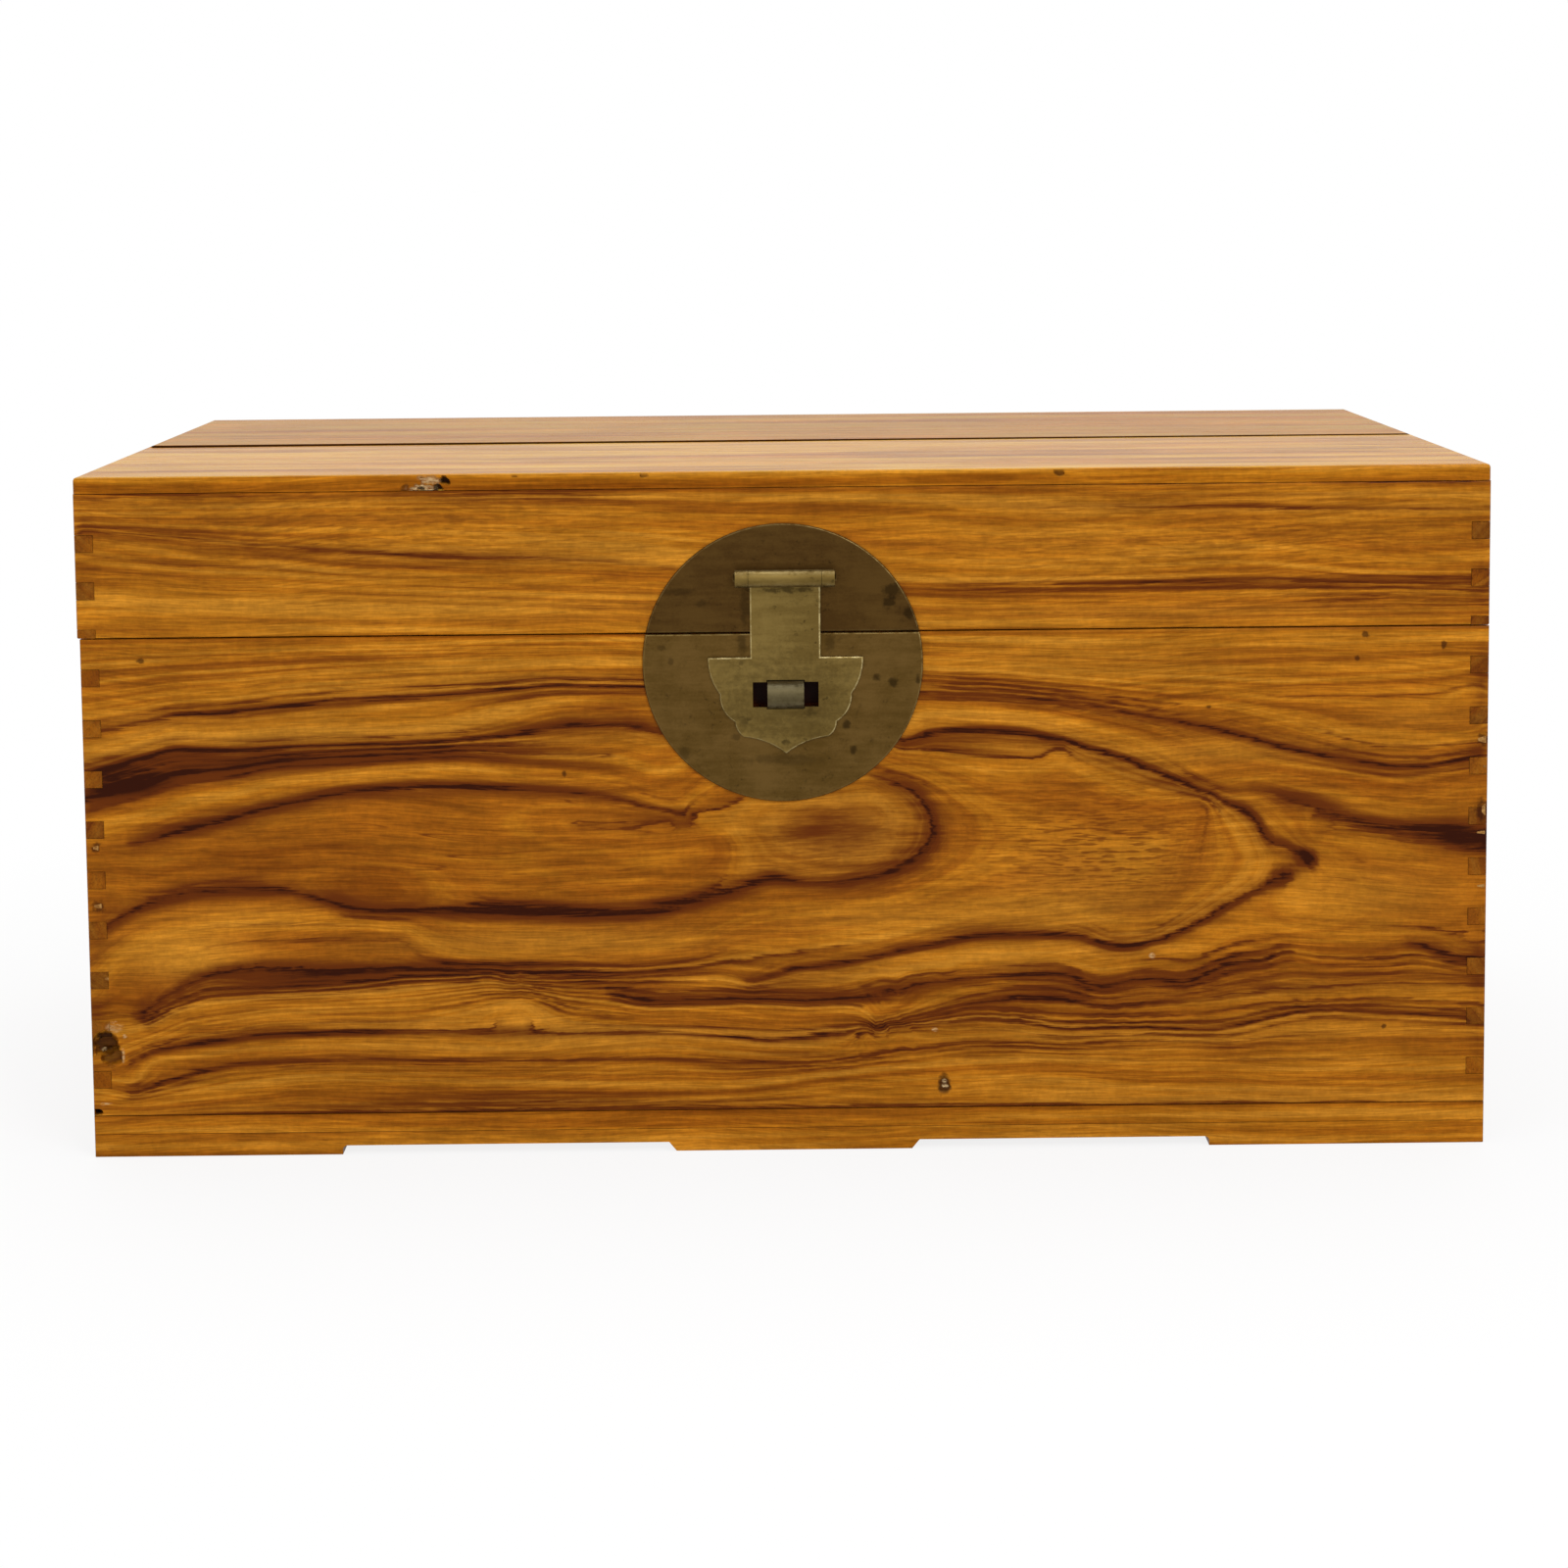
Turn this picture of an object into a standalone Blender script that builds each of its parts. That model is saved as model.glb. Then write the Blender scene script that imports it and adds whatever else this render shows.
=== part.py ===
"""Camphor-wood storage trunk with a round brass lock plate, finger-jointed and standing on low rails.

Metres, +Z up. The front faces -Y and +X is to the right seen from the front.
The origin is on the floor, under the middle of the trunk with its brass.
"""

import math

import bmesh
import bpy
from mathutils import Vector

# Boards of the case and the lid
CASE_LENGTH = 0.920
CASE_DEPTH = 0.500
WALL_HEIGHT = 0.318
WALL_THICKNESS = 0.012
LID_RAIL_HEIGHT = 0.0945
LID_TOP_THICKNESS = 0.0105
LID_OVERHANG_LEFT = 0.0016
BOTTOM_THICKNESS = 0.012
ARRIS = 0.0010
LID_TOP_ARRIS = 0.0022
ARRIS_SEGMENTS = 2

# Clearances between neighbours
GLUE_GAP = 0.0003
SEAM_GAP = 0.0008
LID_TOP_SPLIT = 0.0012
PLATE_GAP = 0.0003
SLOT_GAP = 0.0003
PIN_GAP = 0.0003
KNUCKLE_GAP = 0.0003

# Finger joints: pins of the side boards that show in the front and back faces
PIN_HEIGHT = 0.0110
CASE_PIN_FIRST = 0.0255
CASE_PIN_PITCH = 0.0335
LID_PIN_PITCH = 0.0310
PIN_MARGIN = 0.0200

# Base rails with feet
RAIL_HEIGHT = 0.015
RAIL_WIDTH = 0.030
CUT_RISE = 0.006
CUT_FILLET = 0.003
LEFT_FOOT = 0.164
RIGHT_FOOT = 0.182
MIDDLE_FOOT = 0.166
MIDDLE_FOOT_SHIFT = 0.003
MIDDLE_FOOT_SLANT = 0.005
SIDE_FOOT = 0.110

# Lock plate, split at the seam
LOCK_RADIUS = 0.0916
LOCK_DROP = 0.0200
LOCK_SHIFT = -0.0017
LOCK_THICKNESS = 0.0015

# Hasp: barrel, neck and cusped shield
HASP_THICKNESS = 0.0020
HASP_LIFT = 0.0004
BARREL_RADIUS = 0.0057
BARREL_RISE = 0.0363
HASP_KNUCKLE = 0.0474
END_KNUCKLE = 0.0084
HASP_PIN_RADIUS = 0.0022
NECK_WIDTH = 0.0458
NECK_BELOW_SEAM = 0.0158
SHIELD_HALF_WIDTH = 0.0507
SHIELD_HEIGHT = 0.0638
FIRST_CUSP = (0.0432, 0.0243)
SECOND_CUSP = (0.0333, 0.0428)
THIRD_CUSP = (0.0278, 0.0526)
SHOULDER_SAG = 0.0022
LOBE_SAG = 0.0030
CORNER_SAG = 0.0014
TIP_SAG = -0.0022
WINDOW_LENGTH = 0.0429
WINDOW_HEIGHT = 0.0165
WINDOW_DROP = 0.0246
MORTISE_MARGIN = 0.0005
MORTISE_DEPTH = 0.0070

# Staple that stands through the hasp
STAPLE_WIDTH = 0.0237
STAPLE_HALF_HEIGHT = 0.0090
STAPLE_THICKNESS = 0.0022
STAPLE_REACH = 0.0135
STAPLE_CLEARANCE = 0.0006
CLINCH_LENGTH = 0.0120

# Fixed end knuckles of the hasp
STRAP_THICKNESS = 0.0026

# Back hinges
HINGE_OFFSET = 0.280
HINGE_RADIUS = 0.040
HINGE_THICKNESS = 0.0015
HINGE_BARREL_RADIUS = 0.0045
HINGE_BARREL_LENGTH = 0.0460
HINGE_CENTRE_KNUCKLE = 0.0180
HINGE_PIN_RADIUS = 0.0018
HINGE_CLEARANCE = 0.0005

# Bail handles on the ends
HANDLE_HEIGHT = 0.235
EYE_SPAN = 0.092
EYE_HOLE_RADIUS = 0.0034
EYE_WIRE_RADIUS = 0.0016
SHANK_RADIUS = 0.0020
CLINCH_BAR_LENGTH = 0.020
ROSETTE_RADIUS = 0.0110
ROSETTE_THICKNESS = 0.0016
ROSETTE_RIM = 0.0007
BAIL_END_RADIUS = 0.0028
BAIL_ARM_RADIUS = 0.0032
BAIL_GRIP_RADIUS = 0.0040
BAIL_KNOB_RADIUS = 0.0044
BAIL_KNOB_LENGTH = 0.0040
BAIL_KNOB_TAPER = 0.0010
BAIL_DROP = 0.048
BAIL_ARM_INSET = 0.0090
BAIL_END_REACH = 0.0100
BAIL_ELBOW = 0.0050
BAIL_CORNER = 0.0160
BAIL_GRIP_HALF = 0.0090

# Facets of the round pieces
LOCK_ARC_STEPS = 64
HINGE_ARC_STEPS = 28
HASP_BARREL_SIDES = 28
HINGE_BARREL_SIDES = 24
PIN_SIDES = 16
SHANK_SIDES = 12
EYE_STEPS = 22
EYE_WIRE_SIDES = 10
ROSETTE_STEPS = 24
STAPLE_NOSE_STEPS = 16
FILLET_STEPS = 4
CUSP_STEPS = 6
BAIL_BEND_STEPS = 6
BAIL_BEVEL_RESOLUTION = 3
SMOOTH_ANGLE = math.radians(35)

# Heights from the floor up
BOTTOM_Z = RAIL_HEIGHT + GLUE_GAP
WALL_Z = BOTTOM_Z + BOTTOM_THICKNESS + GLUE_GAP
RIM_Z = WALL_Z + WALL_HEIGHT
LID_Z = RIM_Z + SEAM_GAP
SEAM_Z = RIM_Z + SEAM_GAP / 2
LID_TOP_Z = LID_Z + LID_RAIL_HEIGHT + GLUE_GAP

# Depths: the brass reaches further at the front than at the back, so the case stands back a little
LOCK_STACK = PLATE_GAP + LOCK_THICKNESS + HASP_LIFT
FRONT_REACH = max(LOCK_STACK + 2 * BARREL_RADIUS, STAPLE_REACH)
BACK_REACH = PLATE_GAP + 2 * HINGE_BARREL_RADIUS
CASE_CENTRE_Y = (FRONT_REACH - BACK_REACH) / 2
FRONT_Y = CASE_CENTRE_Y - CASE_DEPTH / 2
BACK_Y = CASE_CENTRE_Y + CASE_DEPTH / 2

# Joint axes
LID_AXIS = Vector((0, BACK_Y + PLATE_GAP + HINGE_BARREL_RADIUS, SEAM_Z))
HASP_AXIS = Vector((0, FRONT_Y - LOCK_STACK - BARREL_RADIUS, SEAM_Z + BARREL_RISE))
EYE_RING_RADIUS = EYE_HOLE_RADIUS + EYE_WIRE_RADIUS
EYE_OUT = PLATE_GAP + ROSETTE_THICKNESS + PLATE_GAP + EYE_RING_RADIUS + EYE_WIRE_RADIUS
SHIELD_TOP_Z = SEAM_Z - NECK_BELOW_SEAM
STAPLE_Z = SHIELD_TOP_Z - WINDOW_DROP


def clear_scene():
    """Empty the scene that the script starts in."""
    for old in list(bpy.data.objects):
        bpy.data.objects.remove(old, do_unlink=True)


def finish(name, colour, roughness, metallic):
    """A material with one colour, roughness and metallic value."""
    material = bpy.data.materials.new(name)
    material.use_nodes = True
    shader = material.node_tree.nodes["Principled BSDF"]
    shader.inputs["Base Color"].default_value = (*colour, 1.0)
    shader.inputs["Roughness"].default_value = roughness
    shader.inputs["Metallic"].default_value = metallic
    material.diffuse_color = (*colour, 1.0)
    return material


def world_place(obj):
    """World position of an object whose parents are all unturned."""
    if obj is None:
        return Vector((0, 0, 0))
    return obj.location + world_place(obj.parent)


def add_empty(name, place, parent=None):
    """An empty on a joint's axis, which carries the pieces that turn about it."""
    empty = bpy.data.objects.new(name, None)
    bpy.context.collection.objects.link(empty)
    empty.parent = parent
    empty.location = Vector(place) - world_place(parent)
    return empty


def add_mesh(name, mesh, place=(0, 0, 0)):
    """A smooth-shaded object with sharp corners from a bmesh, at a place in the world."""
    data = bpy.data.meshes.new(name)
    mesh.to_mesh(data)
    mesh.free()
    data.shade_smooth()
    data.set_sharp_from_angle(angle=SMOOTH_ANGLE)
    obj = bpy.data.objects.new(name, data)
    bpy.context.collection.objects.link(obj)
    obj.location = place
    return obj


def add_piece(name, mesh, material, place=(0, 0, 0), turn=0.0, parent=None):
    """One named piece of the trunk, turned about +Z and hung on an axis if it moves."""
    piece = add_mesh(name, mesh)
    piece.data.materials.append(material)
    piece.parent = parent
    piece.location = Vector(place) - world_place(parent)
    piece.rotation_euler = (0, 0, turn)
    return piece


def add_helper(name, mesh, place=(0, 0, 0)):
    """A hidden shape that cuts or joins a piece."""
    helper = add_mesh(name, mesh, place)
    helper.hide_render = True
    helper.display_type = "WIRE"
    return helper


def combine(piece, helper, operation):
    """Join a helper to a piece (UNION) or cut it out (DIFFERENCE)."""
    modifier = piece.modifiers.new(helper.name, "BOOLEAN")
    modifier.operation = operation
    modifier.solver = "EXACT"
    modifier.object = helper


def arc(centre, radius, start, end, steps):
    """Points along a circular arc, from one angle to another, both ends included."""
    angles = [start + (end - start) * i / steps for i in range(steps + 1)]
    return [(centre[0] + radius * math.cos(a), centre[1] + radius * math.sin(a)) for a in angles]


def sagged(start, end, sag, steps):
    """Points of an arc from start to end that bulges to the right of the way by sag, without its start."""
    start, end = Vector(start), Vector(end)
    chord = end - start
    side = Vector((chord.y, -chord.x)).normalized()
    radius = (chord.length_squared / 4 + sag * sag) / (2 * abs(sag))
    turn = math.copysign(1, sag)
    centre = (start + end) / 2 + side * (sag - turn * radius)
    first = start - centre
    sweep = 2 * math.asin(min(1.0, chord.length / (2 * radius))) * turn
    points = []
    for i in range(1, steps + 1):
        angle = sweep * i / steps
        cosine, sine = math.cos(angle), math.sin(angle)
        x = first.x * cosine - first.y * sine
        y = first.x * sine + first.y * cosine
        points.append((centre.x + x, centre.y + y))
    return points


def prism(outline, plane, low, high):
    """A closed outline in the plane XZ, YZ or XY, extruded along the plane's normal from low to high."""
    places = {
        "XZ": lambda u, v, w: (u, w, v),
        "YZ": lambda u, v, w: (w, u, v),
        "XY": lambda u, v, w: (u, v, w),
    }
    place = places[plane]
    mesh = bmesh.new()
    face = mesh.faces.new([mesh.verts.new(place(u, v, low)) for u, v in outline])
    swept = bmesh.ops.extrude_face_region(mesh, geom=[face])
    moved = [v for v in swept["geom"] if isinstance(v, bmesh.types.BMVert)]
    bmesh.ops.translate(mesh, verts=moved, vec=place(0, 0, high - low))
    bmesh.ops.recalc_face_normals(mesh, faces=mesh.faces)
    return mesh


def box(low, high):
    """A box between two corners."""
    outline = [(low[0], low[1]), (high[0], low[1]), (high[0], high[1]), (low[0], high[1])]
    return prism(outline, "XY", low[2], high[2])


def rod_along_x(radius, low, high, segments, centre=(0, 0)):
    """A solid cylinder along X, with its axis at centre in Y and Z."""
    outline = arc(centre, radius, 0, 2 * math.pi, segments)[:-1]
    return prism(outline, "YZ", low, high)


def round_edges(mesh, chosen, width):
    """Round the edges that the test picks."""
    edges = [edge for edge in mesh.edges if chosen(edge)]
    bmesh.ops.bevel(mesh, geom=edges, offset=width, segments=ARRIS_SEGMENTS, profile=0.5, affect="EDGES")
    return mesh


def lies_at(edge, axis, value):
    """True if both ends of an edge have this coordinate."""
    return all(abs(vert.co[axis] - value) < 1e-6 for vert in edge.verts)


def ease_board(mesh, face, along, half, rims=()):
    """Round a board's outer corners, where its face at 0 meets its ends, and its rims at given heights."""

    def outer(edge):
        at_end = lies_at(edge, along, half) or lies_at(edge, along, -half)
        at_rim = any(lies_at(edge, 2, rim) for rim in rims)
        return lies_at(edge, face, 0) and (at_end or at_rim)

    return round_edges(mesh, outer, ARRIS)


def case_pins():
    """Bottom and top of each pin of the case, above the foot of the wall."""
    count = int((WALL_HEIGHT - CASE_PIN_FIRST - PIN_MARGIN) / CASE_PIN_PITCH) + 1
    middles = [WALL_HEIGHT - CASE_PIN_FIRST - CASE_PIN_PITCH * i for i in range(count)]
    return [(z - PIN_HEIGHT / 2, z + PIN_HEIGHT / 2) for z in reversed(middles)]


def lid_pins():
    """Bottom and top of each pin of the lid: the lowest is half a pin, cut through at the seam."""
    count = int((LID_RAIL_HEIGHT - PIN_MARGIN) / LID_PIN_PITCH) + 1
    middles = [LID_PIN_PITCH * i for i in range(count)]
    return [(max(0.0, z - PIN_HEIGHT / 2), z + PIN_HEIGHT / 2) for z in middles]


def comb_outline(half_length, shoulder, height, bands):
    """A board's outline whose two ends step from half_length to shoulder over each band of its height."""
    low = 0.0
    edge = [(shoulder if bands[0][0] <= low else half_length, low)]
    for bottom, top in bands:
        if bottom > low:
            edge += [(half_length, bottom), (shoulder, bottom)]
        edge += [(shoulder, top), (half_length, top)]
    edge.append((half_length, height))
    return edge + [(-u, v) for u, v in reversed(edge)]


def socket_board(length, height, pins):
    """Front or back board: its ends are notched for the pins. The outer face is at Y = 0."""
    sockets = [(bottom - GLUE_GAP if bottom > 0 else 0.0, top + GLUE_GAP) for bottom, top in pins]
    half = length / 2
    outline = comb_outline(half, half - WALL_THICKNESS - GLUE_GAP, height, sockets)
    return ease_board(prism(outline, "XZ", 0, WALL_THICKNESS), 1, 0, half, (0, height))


def pin_board(height, pins):
    """Side board: its pins reach through the front and back boards. The outer face is at X = 0."""
    half = CASE_DEPTH / 2
    shoulder = half - WALL_THICKNESS - GLUE_GAP
    gaps = []
    low = 0.0
    for bottom, top in pins:
        if bottom > low:
            gaps.append((low, bottom))
        low = top
    gaps.append((low, height))
    edge = []
    if pins[0][0] == 0.0:
        edge.append((half, 0.0))
    for bottom, top in gaps:
        if bottom > 0:
            edge.append((half, bottom))
        edge.append((shoulder, bottom))
        edge.append((shoulder, top))
        if top < height:
            edge.append((half, top))
    outline = edge + [(-u, v) for u, v in reversed(edge)]
    return ease_board(prism(outline, "YZ", 0, WALL_THICKNESS), 0, 1, half, (0, height))


def build_case_boards(wood):
    """Four walls and the two boards of the bottom."""
    half = CASE_LENGTH / 2
    pins = case_pins()
    walls = {
        "front_wall": (socket_board(CASE_LENGTH, WALL_HEIGHT, pins), (0, FRONT_Y, WALL_Z), 0.0),
        "back_wall": (socket_board(CASE_LENGTH, WALL_HEIGHT, pins), (0, BACK_Y, WALL_Z), math.pi),
        "left_wall": (pin_board(WALL_HEIGHT, pins), (-half, CASE_CENTRE_Y, WALL_Z), 0.0),
        "right_wall": (pin_board(WALL_HEIGHT, pins), (half, CASE_CENTRE_Y, WALL_Z), math.pi),
    }
    made = {}
    for name, (mesh, place, turn) in walls.items():
        made[name] = add_piece(name, mesh, wood, place, turn)
    width = (CASE_DEPTH - GLUE_GAP) / 2
    for name, y, turn in (("bottom_board_front", FRONT_Y, 0.0), ("bottom_board_rear", BACK_Y, math.pi)):
        mesh = box((-half, 0, 0), (half, width, BOTTOM_THICKNESS))
        add_piece(name, ease_board(mesh, 1, 0, half), wood, (0, y, BOTTOM_Z), turn)
    return made


def long_rail():
    """Front or back base rail: three feet and two shallow cut-outs. The outer face is at Y = 0."""
    half = CASE_LENGTH / 2
    left = LEFT_FOOT - half
    right = half - RIGHT_FOOT
    middle_left = MIDDLE_FOOT_SHIFT - MIDDLE_FOOT / 2
    middle_right = MIDDLE_FOOT_SHIFT + MIDDLE_FOOT / 2
    crown = CUT_RISE - CUT_FILLET
    outline = [(-half, 0), (left, 0)]
    outline += arc((left + CUT_FILLET, crown), CUT_FILLET, math.pi, math.pi / 2, FILLET_STEPS)
    outline += [(middle_left, CUT_RISE), (middle_left + MIDDLE_FOOT_SLANT, 0)]
    outline += [(middle_right - MIDDLE_FOOT_SLANT, 0), (middle_right, CUT_RISE)]
    outline += arc((right - CUT_FILLET, crown), CUT_FILLET, math.pi / 2, 0, FILLET_STEPS)
    outline += [(right, 0), (half, 0), (half, RAIL_HEIGHT), (-half, RAIL_HEIGHT)]
    return ease_board(prism(outline, "XZ", 0, RAIL_WIDTH), 1, 0, half)


def side_rail():
    """End base rail between the long ones, with one cut-out. The outer face is at X = 0."""
    half = CASE_DEPTH / 2 - RAIL_WIDTH - GLUE_GAP
    foot = CASE_DEPTH / 2 - SIDE_FOOT
    crown = CUT_RISE - CUT_FILLET
    outline = [(-half, 0), (-foot, 0)]
    outline += arc((CUT_FILLET - foot, crown), CUT_FILLET, math.pi, math.pi / 2, FILLET_STEPS)
    outline += arc((foot - CUT_FILLET, crown), CUT_FILLET, math.pi / 2, 0, FILLET_STEPS)
    outline += [(foot, 0), (half, 0), (half, RAIL_HEIGHT), (-half, RAIL_HEIGHT)]
    return prism(outline, "YZ", 0, RAIL_WIDTH)


def build_base(wood):
    """Four base rails under the bottom boards."""
    half = CASE_LENGTH / 2
    add_piece("base_rail_front", long_rail(), wood, (0, FRONT_Y, 0))
    add_piece("base_rail_back", long_rail(), wood, (0, BACK_Y, 0), math.pi)
    add_piece("base_rail_left", side_rail(), wood, (-half, CASE_CENTRE_Y, 0))
    add_piece("base_rail_right", side_rail(), wood, (half, CASE_CENTRE_Y, 0), math.pi)


def build_lid_boards(wood, lid_axis):
    """Four finger-jointed rails of the lid under two top boards."""
    length = CASE_LENGTH + LID_OVERHANG_LEFT
    half = length / 2
    middle = -LID_OVERHANG_LEFT / 2
    pins = lid_pins()
    rails = {
        "lid_front_rail": (socket_board(length, LID_RAIL_HEIGHT, pins), (middle, FRONT_Y, LID_Z), 0.0),
        "lid_back_rail": (socket_board(length, LID_RAIL_HEIGHT, pins), (middle, BACK_Y, LID_Z), math.pi),
        "lid_left_rail": (pin_board(LID_RAIL_HEIGHT, pins), (middle - half, CASE_CENTRE_Y, LID_Z), 0.0),
        "lid_right_rail": (pin_board(LID_RAIL_HEIGHT, pins), (middle + half, CASE_CENTRE_Y, LID_Z), math.pi),
    }
    made = {}
    for name, (mesh, place, turn) in rails.items():
        made[name] = add_piece(name, mesh, wood, place, turn, lid_axis)
    width = (CASE_DEPTH - LID_TOP_SPLIT) / 2

    def outer_top(edge):
        sides = lies_at(edge, 1, 0) or lies_at(edge, 0, half) or lies_at(edge, 0, -half)
        corners = lies_at(edge, 1, 0) and (lies_at(edge, 0, half) or lies_at(edge, 0, -half))
        return corners or (sides and lies_at(edge, 2, LID_TOP_THICKNESS))

    for name, y, turn in (("lid_top_board_front", FRONT_Y, 0.0), ("lid_top_board_rear", BACK_Y, math.pi)):
        mesh = box((-half, 0, 0), (half, width, LID_TOP_THICKNESS))
        mesh = round_edges(mesh, outer_top, LID_TOP_ARRIS)
        add_piece(name, mesh, wood, (middle, y, LID_TOP_Z), turn, lid_axis)
    return made


def disc_above(radius, chord, steps):
    """The part of a disc above a chord, anticlockwise from the chord's right end."""
    angle = math.asin(chord / radius)
    return arc((0, 0), radius, angle, math.pi - angle, steps)


def disc_below(radius, chord, steps):
    """The part of a disc below a chord, anticlockwise from the chord's left end."""
    angle = math.asin(chord / radius)
    return arc((0, 0), radius, math.pi - angle, 2 * math.pi + angle, steps)


def build_lock_plates(brass, lid_axis):
    """Both halves of the round plate, cut apart along the seam."""
    centre = (LOCK_SHIFT, FRONT_Y, SEAM_Z - LOCK_DROP)
    back = -PLATE_GAP
    front = back - LOCK_THICKNESS
    upper = prism(disc_above(LOCK_RADIUS, LOCK_DROP + SEAM_GAP / 2, LOCK_ARC_STEPS), "XZ", front, back)
    lower = prism(disc_below(LOCK_RADIUS, LOCK_DROP - SEAM_GAP / 2, LOCK_ARC_STEPS), "XZ", front, back)
    return {
        "lock_plate_upper": add_piece("lock_plate_upper", upper, brass, centre, parent=lid_axis),
        "lock_plate_lower": add_piece("lock_plate_lower", lower, brass, centre),
    }


def hasp_outline():
    """Neck and cusped shield in X and Z, from the hasp's axis."""
    top = SHIELD_TOP_Z - HASP_AXIS.z
    neck = NECK_WIDTH / 2
    right = [(0, top - SHIELD_HEIGHT)]
    for sag, (x, drop) in (
        (TIP_SAG, THIRD_CUSP),
        (CORNER_SAG, SECOND_CUSP),
        (LOBE_SAG, FIRST_CUSP),
        (SHOULDER_SAG, (SHIELD_HALF_WIDTH, 0)),
    ):
        right += sagged(right[-1], (x, top - drop), sag, CUSP_STEPS)
    right += [(neck, top), (neck, 0)]
    return right + [(-x, z) for x, z in reversed(right[1:])]


def build_hasp(brass, hasp_axis):
    """Hasp plate with its rolled barrel, its window and the relief for the staple."""
    back = BARREL_RADIUS
    plate = prism(hasp_outline(), "XZ", back - HASP_THICKNESS, back)
    hasp = add_piece("hasp", plate, brass, HASP_AXIS, parent=hasp_axis)
    half = HASP_KNUCKLE / 2
    roll = rod_along_x(BARREL_RADIUS, -half, half, HASP_BARREL_SIDES)
    barrel = add_helper("hasp_barrel", roll, HASP_AXIS)
    end = half + KNUCKLE_GAP + END_KNUCKLE + SLOT_GAP
    bore = add_helper("hasp_bore", rod_along_x(HASP_PIN_RADIUS + PIN_GAP, -end, end, PIN_SIDES), HASP_AXIS)
    combine(hasp, barrel, "UNION")
    combine(hasp, bore, "DIFFERENCE")
    depth = LOCK_STACK + HASP_THICKNESS + STAPLE_REACH
    middle = (0, FRONT_Y, STAPLE_Z)
    window = box(
        (-WINDOW_LENGTH / 2, -depth, -WINDOW_HEIGHT / 2),
        (WINDOW_LENGTH / 2, 0, WINDOW_HEIGHT / 2),
    )
    relief_x = STAPLE_WIDTH / 2 + STAPLE_CLEARANCE
    relief_z = STAPLE_HALF_HEIGHT + STAPLE_CLEARANCE
    relief = box((-relief_x, -depth, -relief_z), (relief_x, 0, relief_z))
    combine(hasp, add_helper("hasp_window", window, middle), "DIFFERENCE")
    combine(hasp, add_helper("hasp_relief", relief, middle), "DIFFERENCE")
    return bore


def strap_outline(reach):
    """Knuckle strap in Y and Z: a loop round the pin, a tail through the rail and its two clinched ends."""
    half = STRAP_THICKNESS / 2
    leave = math.asin(half / BARREL_RADIUS)
    loop = arc((0, 0), BARREL_RADIUS, leave, 2 * math.pi - leave, HASP_BARREL_SIDES)
    clinch = CLINCH_LENGTH / 2 + half
    inner = reach + STRAP_THICKNESS
    tail = [(reach, half), (reach, clinch), (inner, clinch)]
    return loop + [(y, -z) for y, z in tail] + tail[::-1]


def build_hasp_knuckles(brass, lid_axis, boards, plates, bore):
    """Two fixed knuckles beside the hasp, their tails through the lid rail, and the pin through all three."""
    reach = FRONT_Y + WALL_THICKNESS + SLOT_GAP - HASP_AXIS.y
    start = HASP_KNUCKLE / 2 + KNUCKLE_GAP
    slot_z = STRAP_THICKNESS / 2 + SLOT_GAP
    for side, low in (("left", -start - END_KNUCKLE), ("right", start)):
        mesh = prism(strap_outline(reach), "YZ", low, low + END_KNUCKLE)
        knuckle = add_piece(f"hasp_knuckle_{side}", mesh, brass, HASP_AXIS, parent=lid_axis)
        combine(knuckle, bore, "DIFFERENCE")
        slot = box((low - SLOT_GAP, 0, -slot_z), (low + END_KNUCKLE + SLOT_GAP, 2 * reach, slot_z))
        cutter = add_helper(f"knuckle_slot_{side}", slot, HASP_AXIS)
        combine(boards["lid_front_rail"], cutter, "DIFFERENCE")
        combine(plates["lock_plate_upper"], cutter, "DIFFERENCE")
    half = start + END_KNUCKLE
    pin = rod_along_x(HASP_PIN_RADIUS, -half, half, PIN_SIDES)
    add_piece("hasp_pin", pin, brass, HASP_AXIS, parent=lid_axis)


def staple_outline():
    """Staple in Y and Z from its middle on the front face: a round nose, two legs and clinched ends."""
    outer = STAPLE_HALF_HEIGHT
    inner = outer - STAPLE_THICKNESS
    nose = outer - STAPLE_REACH
    reach = WALL_THICKNESS + SLOT_GAP
    end = reach + STAPLE_THICKNESS
    half_turn = (math.pi / 2, 3 * math.pi / 2)
    over = outer + CLINCH_LENGTH
    outline = [(end, inner), (end, over), (reach, over), (reach, outer)]
    outline += arc((nose, 0), outer, *half_turn, STAPLE_NOSE_STEPS)
    outline += [(reach, -outer), (reach, -over), (end, -over), (end, -inner)]
    outline += arc((nose, 0), inner, *reversed(half_turn), STAPLE_NOSE_STEPS)
    return outline


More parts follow.
